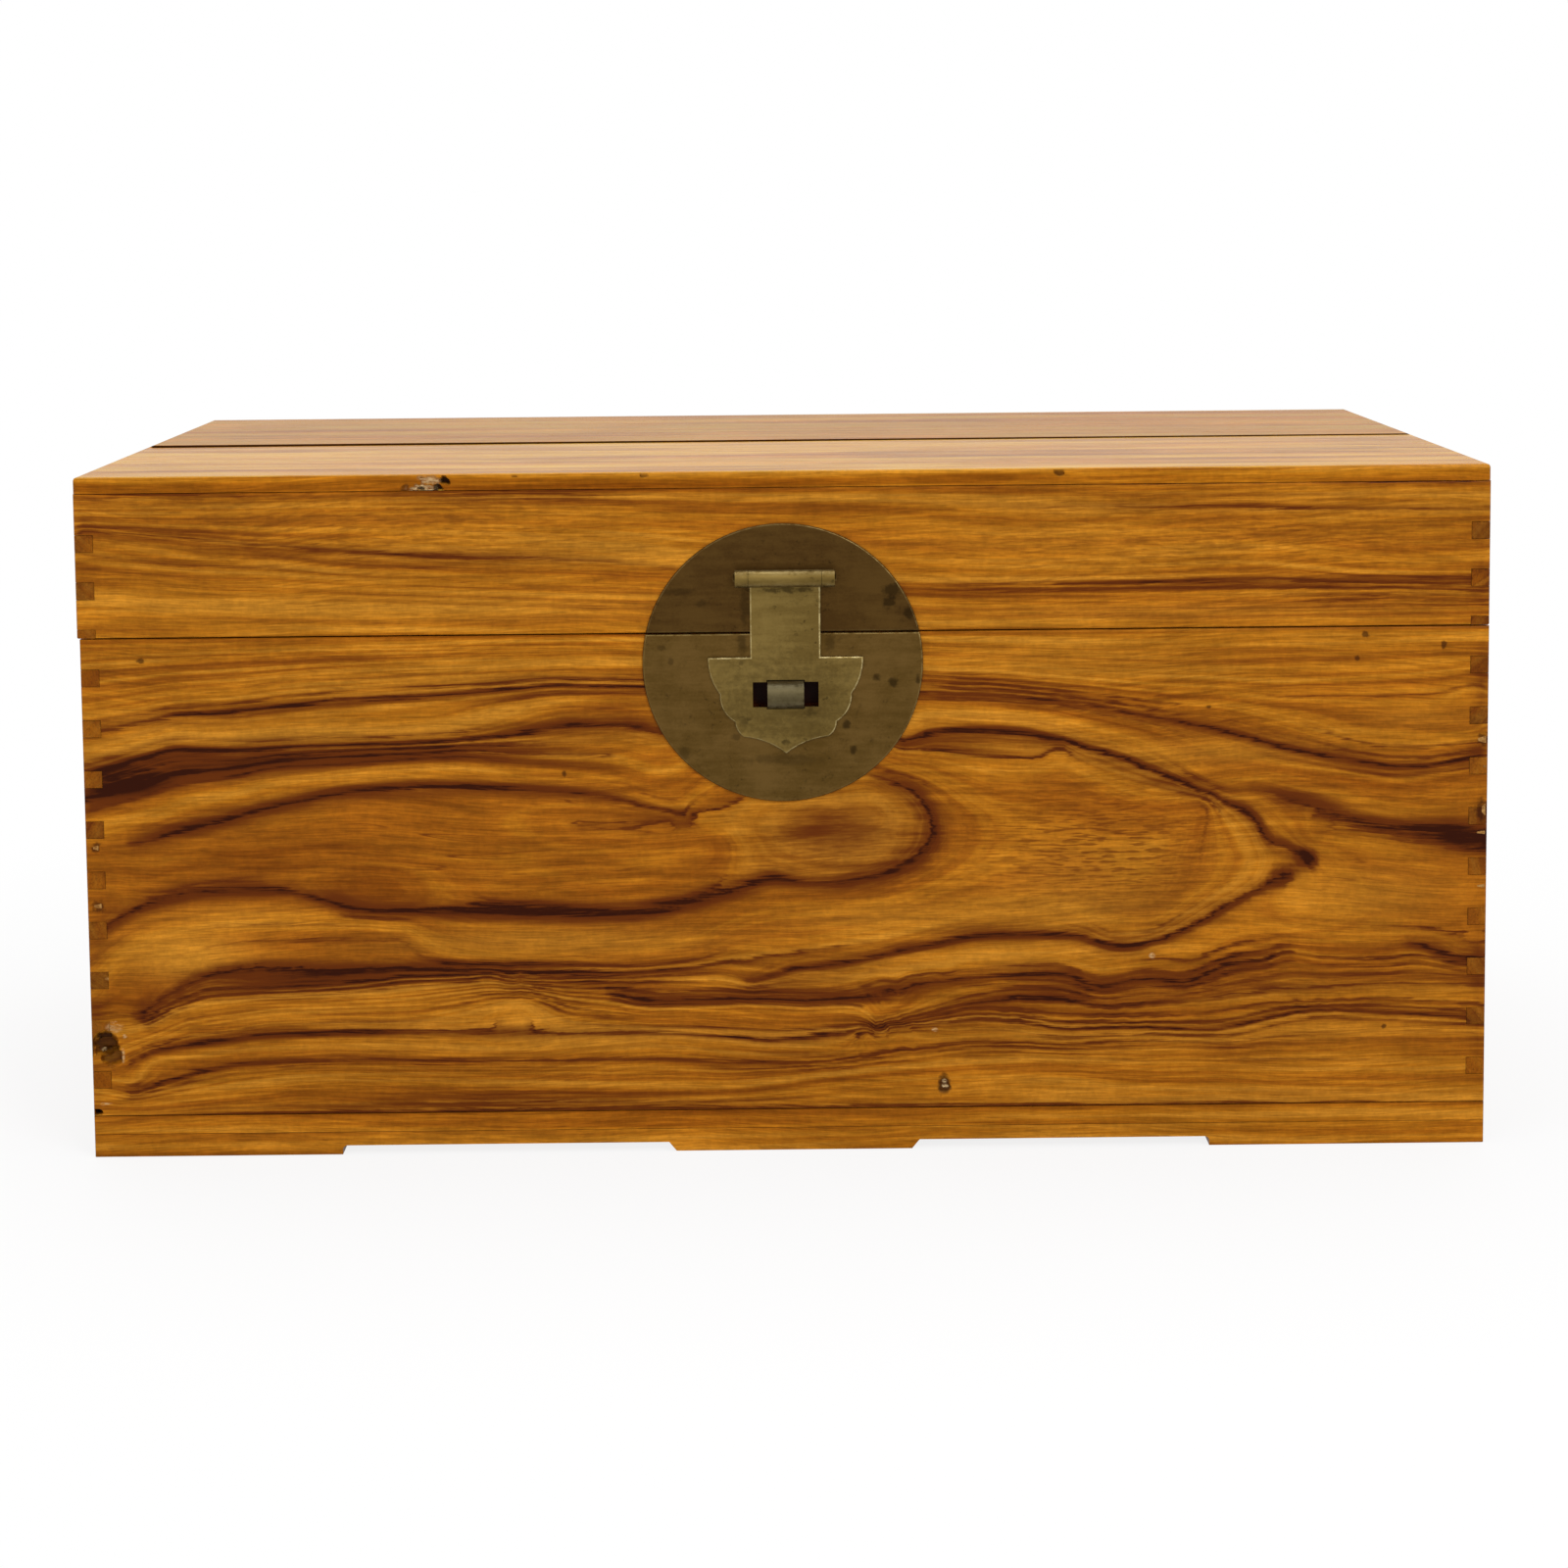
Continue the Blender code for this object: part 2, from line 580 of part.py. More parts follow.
def build_staple(brass, boards, plates):
    """Staple through the lower plate and the front wall, over a shallow mortise that shows in the window."""
    half = STAPLE_WIDTH / 2
    middle = (0, FRONT_Y, STAPLE_Z)
    add_piece("lock_staple", prism(staple_outline(), "YZ", -half, half), brass, middle)
    through = 2 * WALL_THICKNESS
    ahead = -2 * LOCK_STACK
    mortise_x = WINDOW_LENGTH / 2 + MORTISE_MARGIN
    mortise_z = WINDOW_HEIGHT / 2 + MORTISE_MARGIN
    mortise = add_helper(
        "lock_mortise",
        box((-mortise_x, ahead, -mortise_z), (mortise_x, MORTISE_DEPTH, mortise_z)),
        middle,
    )
    slot_x = half + SLOT_GAP
    slot_outer = STAPLE_HALF_HEIGHT + SLOT_GAP
    slot_inner = STAPLE_HALF_HEIGHT - STAPLE_THICKNESS - SLOT_GAP
    combine(boards["front_wall"], mortise, "DIFFERENCE")
    combine(plates["lock_plate_lower"], mortise, "DIFFERENCE")
    for name, low, high in (("upper", slot_inner, slot_outer), ("lower", -slot_outer, -slot_inner)):
        mesh = box((-slot_x, ahead, low), (slot_x, through, high))
        slot = add_helper(f"staple_slot_{name}", mesh, middle)
        combine(boards["front_wall"], slot, "DIFFERENCE")
        combine(plates["lock_plate_lower"], slot, "DIFFERENCE")


def leaf_outline(upwards, knuckles):
    """Half-round hinge leaf in X and Z from the pin's axis, with a tab down to each of its knuckles."""
    chord = HINGE_BARREL_RADIUS + HINGE_CLEARANCE
    tab = HINGE_BARREL_RADIUS / 3
    outline = disc_above(HINGE_RADIUS, chord, HINGE_ARC_STEPS)
    for low, high in knuckles:
        outline += [(low, chord), (low, tab), (high, tab), (high, chord)]
    if upwards:
        return outline
    return [(x, -z) for x, z in reversed(outline)]


def build_hinges(brass, lid_axis):
    """Two round hinges on the back: the case leaf has two knuckles and the lid leaf one between them."""
    half = HINGE_BARREL_LENGTH / 2
    centre = HINGE_CENTRE_KNUCKLE / 2
    outer = [(-half, -centre - KNUCKLE_GAP), (centre + KNUCKLE_GAP, half)]
    inner = [(-centre, centre)]
    back = -HINGE_BARREL_RADIUS
    carriers = (("case", False, outer, None), ("lid", True, inner, lid_axis))
    for side, x in (("left", -HINGE_OFFSET), ("right", HINGE_OFFSET)):
        place = LID_AXIS + Vector((x, 0, 0))
        bore_mesh = rod_along_x(HINGE_PIN_RADIUS + PIN_GAP, -2 * half, 2 * half, PIN_SIDES)
        bore = add_helper(f"hinge_bore_{side}", bore_mesh, place)
        for carrier, upwards, knuckles, parent in carriers:
            mesh = prism(leaf_outline(upwards, knuckles), "XZ", back, back + HINGE_THICKNESS)
            leaf = add_piece(f"hinge_leaf_{carrier}_{side}", mesh, brass, place, 0.0, parent)
            for index, (low, high) in enumerate(knuckles):
                name = f"hinge_knuckle_{carrier}_{side}_{index}"
                roll = rod_along_x(HINGE_BARREL_RADIUS, low, high, HINGE_BARREL_SIDES)
                combine(leaf, add_helper(name, roll, place), "UNION")
            combine(leaf, bore, "DIFFERENCE")
        add_piece(f"hinge_pin_{side}", rod_along_x(HINGE_PIN_RADIUS, -half, half, PIN_SIDES), brass, place)


def spun(section, axis, steps):
    """A closed section, given as points beside an axis through the origin, spun once round that axis."""
    mesh = bmesh.new()
    verts = [mesh.verts.new(point) for point in section]
    edges = [mesh.edges.new((verts[i - 1], verts[i])) for i in range(len(verts))]
    bmesh.ops.spin(mesh, geom=verts + edges, axis=axis, angle=2 * math.pi, steps=steps, use_merge=True)
    bmesh.ops.recalc_face_normals(mesh, faces=mesh.faces)
    return mesh


def eye_ring():
    """A ring of round wire about the Y axis."""
    wire = arc((EYE_RING_RADIUS, 0), EYE_WIRE_RADIUS, 0, 2 * math.pi, EYE_WIRE_SIDES)[:-1]
    return spun([(x, y, 0) for x, y in wire], (0, 1, 0), EYE_STEPS)


def rosette():
    """A dished washer about the X axis that thins towards its rim, with its back at X = 0."""
    hole = SHANK_RADIUS + SLOT_GAP
    profile = [
        (0, hole),
        (0, ROSETTE_RADIUS),
        (ROSETTE_RIM, ROSETTE_RADIUS),
        (ROSETTE_THICKNESS, (ROSETTE_RADIUS + hole) / 2),
        (ROSETTE_THICKNESS, hole),
    ]
    return spun([(x, 0, z) for x, z in profile], (1, 0, 0), ROSETTE_STEPS)


def bail_path():
    """Path of a bail from one end to the other in Y and Z, with the rod's radius at each point."""
    arm = EYE_SPAN / 2 - BAIL_ARM_INSET
    end = EYE_SPAN / 2 + BAIL_END_REACH
    elbow = arc((arm + BAIL_ELBOW, -BAIL_ELBOW), BAIL_ELBOW, math.pi / 2, math.pi, BAIL_BEND_STEPS)
    turn = (arm - BAIL_CORNER, BAIL_CORNER - BAIL_DROP)
    corner = arc(turn, BAIL_CORNER, 0, -math.pi / 2, BAIL_BEND_STEPS)
    half = [
        (end, 0, BAIL_END_RADIUS),
        (end - BAIL_KNOB_TAPER, 0, BAIL_KNOB_RADIUS),
        (end - BAIL_KNOB_LENGTH + BAIL_KNOB_TAPER, 0, BAIL_KNOB_RADIUS),
        (end - BAIL_KNOB_LENGTH, 0, BAIL_END_RADIUS),
    ]
    half += [(y, z, BAIL_END_RADIUS) for y, z in elbow[:1]]
    half += [(y, z, BAIL_ARM_RADIUS) for y, z in elbow[1:]]
    half += [(y, z, BAIL_ARM_RADIUS) for y, z in corner]
    half.append((BAIL_GRIP_HALF, -BAIL_DROP, BAIL_GRIP_RADIUS))
    return half + [(-y, z, radius) for y, z, radius in reversed(half)]


def add_bail(name, brass, axis):
    """A bail of bent rod, with its ends turned outwards through the eyes."""
    curve = bpy.data.curves.new(name, "CURVE")
    curve.dimensions = "3D"
    curve.bevel_depth = BAIL_ARM_RADIUS
    curve.bevel_resolution = BAIL_BEVEL_RESOLUTION
    curve.use_fill_caps = True
    path = bail_path()
    spline = curve.splines.new("POLY")
    spline.points.add(len(path) - 1)
    for point, (y, z, radius) in zip(spline.points, path):
        point.co = (0, y, z, 1)
        point.radius = radius / BAIL_ARM_RADIUS
    curve.materials.append(brass)
    bail = bpy.data.objects.new(name, curve)
    bpy.context.collection.objects.link(bail)
    bail.parent = axis


def add_eye(name, brass, place, turn):
    """An eye whose shank runs along local +X through the wall to a bar clinched inside. Returns its hole."""
    reach = EYE_OUT + WALL_THICKNESS + SLOT_GAP
    depth = 2 * EYE_WIRE_RADIUS
    width = SHANK_RADIUS
    height = CLINCH_BAR_LENGTH / 2
    eye = add_piece(name, eye_ring(), brass, place, turn)
    shank = rod_along_x(SHANK_RADIUS, EYE_RING_RADIUS, reach + depth / 2, SHANK_SIDES)
    bar = box((reach, -width, -height), (reach + depth, width, height))
    hole = rod_along_x(SHANK_RADIUS + SLOT_GAP, 0, EYE_OUT + 2 * WALL_THICKNESS, SHANK_SIDES)
    helpers = {}
    for part, mesh in (("shank", shank), ("clinch", bar), ("hole", hole)):
        helpers[part] = add_helper(f"{name}_{part}", mesh, place)
        helpers[part].rotation_euler = (0, 0, turn)
    combine(eye, helpers["shank"], "UNION")
    combine(eye, helpers["clinch"], "UNION")
    return helpers["hole"]


def build_handles(brass, boards):
    """A bail handle on each end: two eyes clinched inside the wall, a rosette under each, and the bail."""
    half = CASE_LENGTH / 2
    for side, sign, inwards in (("left", -1, 0.0), ("right", 1, math.pi)):
        out = sign * (half + EYE_OUT)
        axis = add_empty(f"{side}_bail_axis", (out, CASE_CENTRE_Y, HANDLE_HEIGHT))
        add_bail(f"{side}_bail", brass, axis)
        for end, y in (("front", -EYE_SPAN / 2), ("rear", EYE_SPAN / 2)):
            place = (out, CASE_CENTRE_Y + y, HANDLE_HEIGHT)
            hole = add_eye(f"{side}_eye_{end}", brass, place, inwards)
            combine(boards[f"{side}_wall"], hole, "DIFFERENCE")
            seat = (sign * (half + PLATE_GAP), CASE_CENTRE_Y + y, HANDLE_HEIGHT)
            add_piece(f"{side}_rosette_{end}", rosette(), brass, seat, inwards + math.pi)


def build_trunk():
    """The whole trunk, closed."""
    clear_scene()
    wood = finish("camphor_wood", (0.42, 0.20, 0.055), 0.42, 0.0)
    brass = finish("aged_brass", (0.30, 0.23, 0.11), 0.45, 1.0)
    lid_axis = add_empty("lid_axis", LID_AXIS)
    hasp_axis = add_empty("hasp_axis", HASP_AXIS, lid_axis)
    boards = build_case_boards(wood)
    build_base(wood)
    boards.update(build_lid_boards(wood, lid_axis))
    plates = build_lock_plates(brass, lid_axis)
    bore = build_hasp(brass, hasp_axis)
    build_hasp_knuckles(brass, lid_axis, boards, plates, bore)
    build_staple(brass, boards, plates)
    build_hinges(brass, lid_axis)
    build_handles(brass, boards)


build_trunk()
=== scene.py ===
"""Looks of a camphor-wood trunk with a round brass lock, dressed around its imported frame.

Metres, +Z up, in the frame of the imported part: the front faces -Y and +X is to the right.
"""

import functools
import logging
import math
from dataclasses import dataclass
from enum import Enum
from typing import ClassVar, Sequence

import bpy
import numpy as np
from mathutils import Matrix, Vector, noise


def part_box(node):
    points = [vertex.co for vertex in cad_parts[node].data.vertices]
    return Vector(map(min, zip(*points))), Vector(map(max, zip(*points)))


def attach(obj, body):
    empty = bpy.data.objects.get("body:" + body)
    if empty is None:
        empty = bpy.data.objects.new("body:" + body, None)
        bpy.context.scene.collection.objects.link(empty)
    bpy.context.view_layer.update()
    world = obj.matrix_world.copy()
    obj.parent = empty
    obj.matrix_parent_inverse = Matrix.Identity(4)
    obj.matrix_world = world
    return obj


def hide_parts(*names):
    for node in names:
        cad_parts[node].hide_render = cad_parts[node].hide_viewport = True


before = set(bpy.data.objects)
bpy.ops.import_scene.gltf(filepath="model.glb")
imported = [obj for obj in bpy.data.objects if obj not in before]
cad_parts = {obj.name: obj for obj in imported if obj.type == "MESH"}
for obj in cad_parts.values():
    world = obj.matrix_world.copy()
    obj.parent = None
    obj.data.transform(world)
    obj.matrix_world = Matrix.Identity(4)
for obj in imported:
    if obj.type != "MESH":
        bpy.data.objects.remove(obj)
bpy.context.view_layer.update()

MM = 0.001
LOG = logging.getLogger("trunk")

Socket = bpy.types.NodeSocket
Feed = Socket | float | Sequence[float]
Colour = tuple[float, float, float, float]
Triple = tuple[float, float, float]

# Points closer than this are one point, and points this close to a face of a box lie on it.
SAME = 1e-5
NEAR = 1e-4
WHITE: Colour = (1.0, 1.0, 1.0, 1.0)


@functools.cache
def box_of(node: str) -> tuple[np.ndarray, np.ndarray]:
    """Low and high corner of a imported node's box."""
    low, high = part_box(node)
    return np.array(low), np.array(high)


class Body(Enum):
    """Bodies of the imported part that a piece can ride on."""

    CASE = "case"
    LID = "lid"
    HASP = "hasp"
    LEFT_BAIL = "left_bail"
    RIGHT_BAIL = "right_bail"


class Slot(Enum):
    """Material slots of the record."""

    WOOD = "camphor_wood"
    BRASS = "aged_brass"


class Axis(Enum):
    """Axes of the frame, by their place in a vector."""

    X = 0
    Y = 1
    Z = 2


class Side(Enum):
    """Sides of the trunk, each by its axis and the way it looks."""

    FRONT = (Axis.Y, -1)
    BACK = (Axis.Y, 1)
    LEFT = (Axis.X, -1)
    RIGHT = (Axis.X, 1)


@dataclass
class Tree:
    """The node tree of a material or a world, written as short calls."""

    owner: bpy.types.Material | bpy.types.World

    def __post_init__(self) -> None:
        """Start the tree."""
        self.owner.use_nodes = True
        self.nodes = self.owner.node_tree.nodes
        self.links = self.owner.node_tree.links

    @classmethod
    def of_material(cls, name: str) -> "Tree":
        """Start the tree of a new material."""
        return cls(bpy.data.materials.new(name))

    def feed(self, socket: Socket, value: Feed) -> None:
        """Link a socket to another socket, or set it to a constant."""
        if isinstance(value, bpy.types.NodeSocket):
            self.links.new(value, socket)
        else:
            socket.default_value = value

    def add(self, kind: str, feeds: dict, **settings: object) -> bpy.types.Node:
        """Add a node.

        Args:
            kind: Blender's name of the node type.
            feeds: What each input gets, by the input's name or number.
            settings: Properties of the node.

        Returns:
            The new node.
        """
        node = self.nodes.new(kind)
        for key, value in settings.items():
            setattr(node, key, value)
        for key, value in feeds.items():
            self.feed(node.inputs[key], value)
        return node

    def surface(self, feeds: dict[str, Feed]) -> None:
        """Feed inputs of the Principled shader, by their names."""
        for name, value in feeds.items():
            self.feed(self.nodes["Principled BSDF"].inputs[name], value)

    def math(self, operation: str, *feeds: Feed, clamp: bool = False) -> Socket:
        """Add a Math node and return its result."""
        node = self.add("ShaderNodeMath", dict(enumerate(feeds)), operation=operation, use_clamp=clamp)
        return node.outputs[0]

    def times(self, first: Feed, second: Feed, clamp: bool = False) -> Socket:
        """Multiply two values."""
        return self.math("MULTIPLY", first, second, clamp=clamp)

    def plus(self, first: Feed, second: Feed, clamp: bool = False) -> Socket:
        """Add two values."""
        return self.math("ADD", first, second, clamp=clamp)

    def vector(self, operation: str, *feeds: Feed) -> bpy.types.Node:
        """Add a Vector Math node."""
        return self.add("ShaderNodeVectorMath", dict(enumerate(feeds)), operation=operation)

    def split(self, vector: Socket) -> Sequence[Socket]:
        """The three values of a vector."""
        return self.add("ShaderNodeSeparateXYZ", {0: vector}).outputs

    def combine(self, *feeds: Feed) -> Socket:
        """Make a vector of three values."""
        return self.add("ShaderNodeCombineXYZ", dict(enumerate(feeds))).outputs[0]

    def blend(self, factor: Feed, first: Feed, second: Feed, mode: str = "MIX") -> Socket:
        """Mix two colours and return the result."""
        node = self.add("ShaderNodeMix", {}, data_type="RGBA", blend_type=mode)
        for number, value in ((0, factor), (6, first), (7, second)):
            self.feed(node.inputs[number], value)
        return node.outputs[2]

    def stretch(self, where: Socket, waves: Triple) -> Socket:
        """Scale coordinates by a factor for each axis, in waves per metre."""
        return self.vector("MULTIPLY", where, waves).outputs[0]

    def noise(self, where: Socket, waves: Triple, detail: float, roughness: float = 0.5) -> Socket:
        """Add a noise texture with so many waves per metre on each coordinate and return its value."""
        feeds = {"Vector": self.stretch(where, waves), "Scale": 1.0, "Detail": detail, "Roughness": roughness}
        return self.add("ShaderNodeTexNoise", feeds).outputs[0]

    def steps(
        self, value: Feed, low: float, high: float, to_low: float = 0.0, to_high: float = 1.0,
    ) -> Socket:
        """Map a value smoothly from one range to another."""
        feeds = {0: value, 1: low, 2: high, 3: to_low, 4: to_high}
        return self.add("ShaderNodeMapRange", feeds, interpolation_type="SMOOTHSTEP").outputs[0]

    def attribute(self, name: str) -> Socket:
        """Read a number that the mesh carries."""
        return self.add("ShaderNodeAttribute", {}, attribute_name=name).outputs["Fac"]

    def colours(self, value: Socket, stops: Sequence[tuple[float, Colour]]) -> Socket:
        """Map a value from 0 to 1 through a row of colours.

        Args:
            value: The value to map.
            stops: Pairs of place and colour.

        Returns:
            The colour.
        """
        ramp = self.add("ShaderNodeValToRGB", {0: value})
        elements = ramp.color_ramp.elements
        while len(elements) < len(stops):
            elements.new(0.5)
        for element, (place, colour) in zip(elements, stops):
            element.position = place
            element.color = colour
        return ramp.outputs[0]

    def object_place(self) -> Socket:
        """Coordinates of the surface in the object's own space."""
        return self.nodes.new("ShaderNodeTexCoord").outputs["Object"]

    def normal(self) -> Socket:
        """The way that the surface faces, in the object's own space."""
        return self.nodes.new("ShaderNodeTexCoord").outputs["Normal"]

    def facing(self, axis: Axis) -> Socket:
        """How squarely the surface faces along an axis, from 0 to 1."""
        return self.math("ABSOLUTE", self.split(self.normal())[axis.value])

    def ripple(self, height: Socket, depth: float, strength: float) -> None:
        """Raise the surface by a height from 0 to 1."""
        feeds = {"Height": height, "Distance": depth, "Strength": strength}
        self.surface({"Normal": self.add("ShaderNodeBump", feeds).outputs[0]})

    def seen(self) -> Socket:
        """1 for rays that the camera sends, straight or by way of a mirror or glass, and 0 for light."""
        path = self.nodes.new("ShaderNodeLightPath").outputs
        seen = self.math("MAXIMUM", path["Is Camera Ray"], path["Is Glossy Ray"])
        return self.math("MAXIMUM", seen, path["Is Transmission Ray"])

    def show(self, factor: Feed, first: Socket, second: Socket, output: str) -> None:
        """Mix two shaders into the tree's output node."""
        mix = self.add("ShaderNodeMixShader", {0: factor, 1: first, 2: second})
        self.links.new(mix.outputs[0], self.nodes[output].inputs["Surface"])


@dataclass(frozen=True)
class PhotoFace:
    """A board's face as the photograph shows it, by the pixels of its four corners."""

    node: str
    upper_left: tuple[float, float]
    upper_right: tuple[float, float]
    lower_left: tuple[float, float]
    lower_right: tuple[float, float]

    def size(self) -> tuple[float, float]:
        """Length and height of the face in millimetres, from the frame."""
        low, high = box_of(self.node)
        return (high[0] - low[0]) / MM, (high[2] - low[2]) / MM

    def scale(self) -> float:
        """Millimetres to a pixel of the photograph."""
        return self.size()[0] / (self.upper_right[0] - self.upper_left[0])

    def on_board(self, pixels: np.ndarray) -> np.ndarray:
        """Turn pixels of the photograph into places on the board.

        Args:
            pixels: Rows of a pixel's column and row.

        Returns:
            Rows of millimetres along the board and down from its upper edge.
        """
        column, row = pixels[:, 0], pixels[:, 1]
        left, right = (
            np.interp(row, (upper[1], lower[1]), (upper[0], lower[0]))
            for upper, lower in ((self.upper_left, self.lower_left), (self.upper_right, self.lower_right))
        )
        share = (column - left) / (right - left)
        top = self.upper_left[1] + share * (self.upper_right[1] - self.upper_left[1])
        low = self.lower_left[1] + share * (self.lower_right[1] - self.lower_left[1])
        length, height = self.size()
        return np.column_stack((share * length, (row - top) / (low - top) * height))

    def in_frame(self, column: float, row: float) -> tuple[float, float]:
        """Place of a pixel along X and Z in the frame."""
        low, high = box_of(self.node)
        along, down = self.on_board(np.array([[column, row]], float))[0]
        return float(low[0] + along * MM), float(high[2] - down * MM)


@dataclass(frozen=True)
class Streak:
    """A growth line drawn on a board's face.

    Its points are places on the face with a tone from 0 to 1, in the units of its figure. All points of
    a streak lie on one growth level. Spread is how far its brown bleeds out, in millimetres.
    """

    name: str
    level: float
    points: tuple[Triple, ...]
    spread: float = 0.0


@dataclass(frozen=True)
class Patch:
    """A soft oval on a board's face: its middle and half sizes in its figure's units, and its amount."""

    along: float
    down: float
    half_length: float
    half_height: float
    amount: float


@dataclass(frozen=True)
class Figure:
    """The figure of a plank: its growth levels pass through the drawn streaks, as on a contour map.

    With a photo face, streaks and patches are drawn in the photograph's pixels, and without one in
    millimetres along the plank and down from its upper edge.
    """

    streaks: tuple[Streak, ...]
    face: PhotoFace | None = None
    pale: tuple[Patch, ...] = ()
    fleck: tuple[Patch, ...] = ()
    thread: tuple[Patch, ...] = ()
    brown: tuple[Patch, ...] = ()
    contour_step: float = 14.0
    tone_step: float = 3.0
    line_reach: float = 4.5
    shade_reach: float = 9.0
    least_slope: float = 0.006
    plate_unit: float = 100.0
    plate_slack: float = 2e-4
    plate_least: float = 1e-9

    def drawn(self, streak: Streak, step: float) -> np.ndarray:
        """Points along a streak at even steps, as rows of along, down and tone."""
        corners = np.array(streak.points, float)
        if self.face is not None:
            corners[:, :2] = self.face.on_board(corners[:, :2])
        runs = np.hypot(*np.diff(corners[:, :2], axis=0).T)
        travelled = np.concatenate(([0.0], np.cumsum(runs)))
        places = np.linspace(0.0, travelled[-1], max(2, int(travelled[-1] / step) + 1))
        return np.stack([np.interp(places, travelled, corners[:, k]) for k in range(3)], axis=1)

    def weight(self, patches: Sequence[Patch], places: np.ndarray) -> np.ndarray:
        """Sum of soft patches at rows of along and down."""
        total = np.zeros(len(places))
        for patch in patches:
            middle = np.array([[patch.along, patch.down]], float)
            scale = 1.0
            if self.face is not None:
                middle, scale = self.face.on_board(middle), self.face.scale()
            x = (places[:, 0] - middle[0, 0]) / (patch.half_length * scale)
            y = (places[:, 1] - middle[0, 1]) / (patch.half_height * scale)
            total += patch.amount * np.exp(-(x * x + y * y))
        return total

    def bend(self, places: np.ndarray, others: np.ndarray) -> np.ndarray:
        """Thin-plate bending between two sets of points."""
        gaps = (places[:, None] - others[None]) / self.plate_unit
        squares = (gaps * gaps).sum(-1)
        return 0.5 * squares * np.log(squares + self.plate_least)

    def plate(self) -> tuple[np.ndarray, np.ndarray]:
        """Points that the growth levels pass through, and the bending weights that hold them there."""
        rows = [self.drawn(streak, self.contour_step) for streak in self.streaks]
        knots = np.concatenate([row[:, :2] for row in rows])
        heights = np.concatenate([np.full(len(row), streak.level) for row, streak in zip(rows, self.streaks)])
        flat = np.column_stack((np.ones(len(knots)), knots / self.plate_unit))
        stiff = self.bend(knots, knots) + self.plate_slack * np.eye(len(knots))
        system = np.block([[stiff, flat], [flat.T, np.zeros((3, 3))]])
        return knots, np.linalg.solve(system, np.concatenate((heights, np.zeros(3))))

    def levels(self, places: np.ndarray) -> tuple[np.ndarray, np.ndarray]:
        """Growth level at each place, and how fast it changes.

        Args:
            places: Rows of along and down, in millimetres.

        Returns:
            A level for each row, and its slope in levels to a millimetre.
        """
        knots, weights = self.plate()

        def height(spots: np.ndarray) -> np.ndarray:
            """Level at rows of along and down."""
            tilt = np.column_stack((np.ones(len(spots)), spots / self.plate_unit))
            return self.bend(spots, knots) @ weights[:-3] + tilt @ weights[-3:]

        here = height(places)
        slope = np.hypot(height(places + (1.0, 0.0)) - here, height(places + (0.0, 1.0)) - here)
        return here, np.maximum(slope, self.least_slope)

    def tones(self, places: np.ndarray) -> tuple[np.ndarray, np.ndarray, np.ndarray]:
        """Strength, at each place, of the dark lines, their soft sides and the brown that bleeds out."""
        lines, shades, bleeds = np.zeros((3, len(places)))
        for streak in self.streaks:
            layers = [(lines, self.line_reach), (shades, self.shade_reach)]
            if streak.spread > 0.0:
                layers.append((bleeds, streak.spread))
            for along, down, tone in self.drawn(streak, self.tone_step):
                if tone <= 0.0:
                    continue
                squares = (places[:, 0] - along) ** 2 + (places[:, 1] - down) ** 2
                for total, reach in layers:
                    np.maximum(total, tone * np.exp(-squares / reach**2), out=total)
        return lines, shades, bleeds

    def numbers(self, places: np.ndarray) -> dict[str, np.ndarray]:
        """All that the wood's finish reads, by attribute name."""
        lines, shades, bleeds = self.tones(places)
        rings, slopes = self.levels(places)
        return {
            "ring": rings,
            "slope": slopes,
            "streak": lines,
            "shade": shades,
            "bleed": bleeds + self.weight(self.brown, places),
            "pale": self.weight(self.pale, places),
            "fleck": self.weight(self.fleck, places),
            "thread": self.weight(self.thread, places),
        }


FRONT_FACE = PhotoFace("front_wall", (87, 650), (1514, 634), (95, 1144), (1516, 1133))

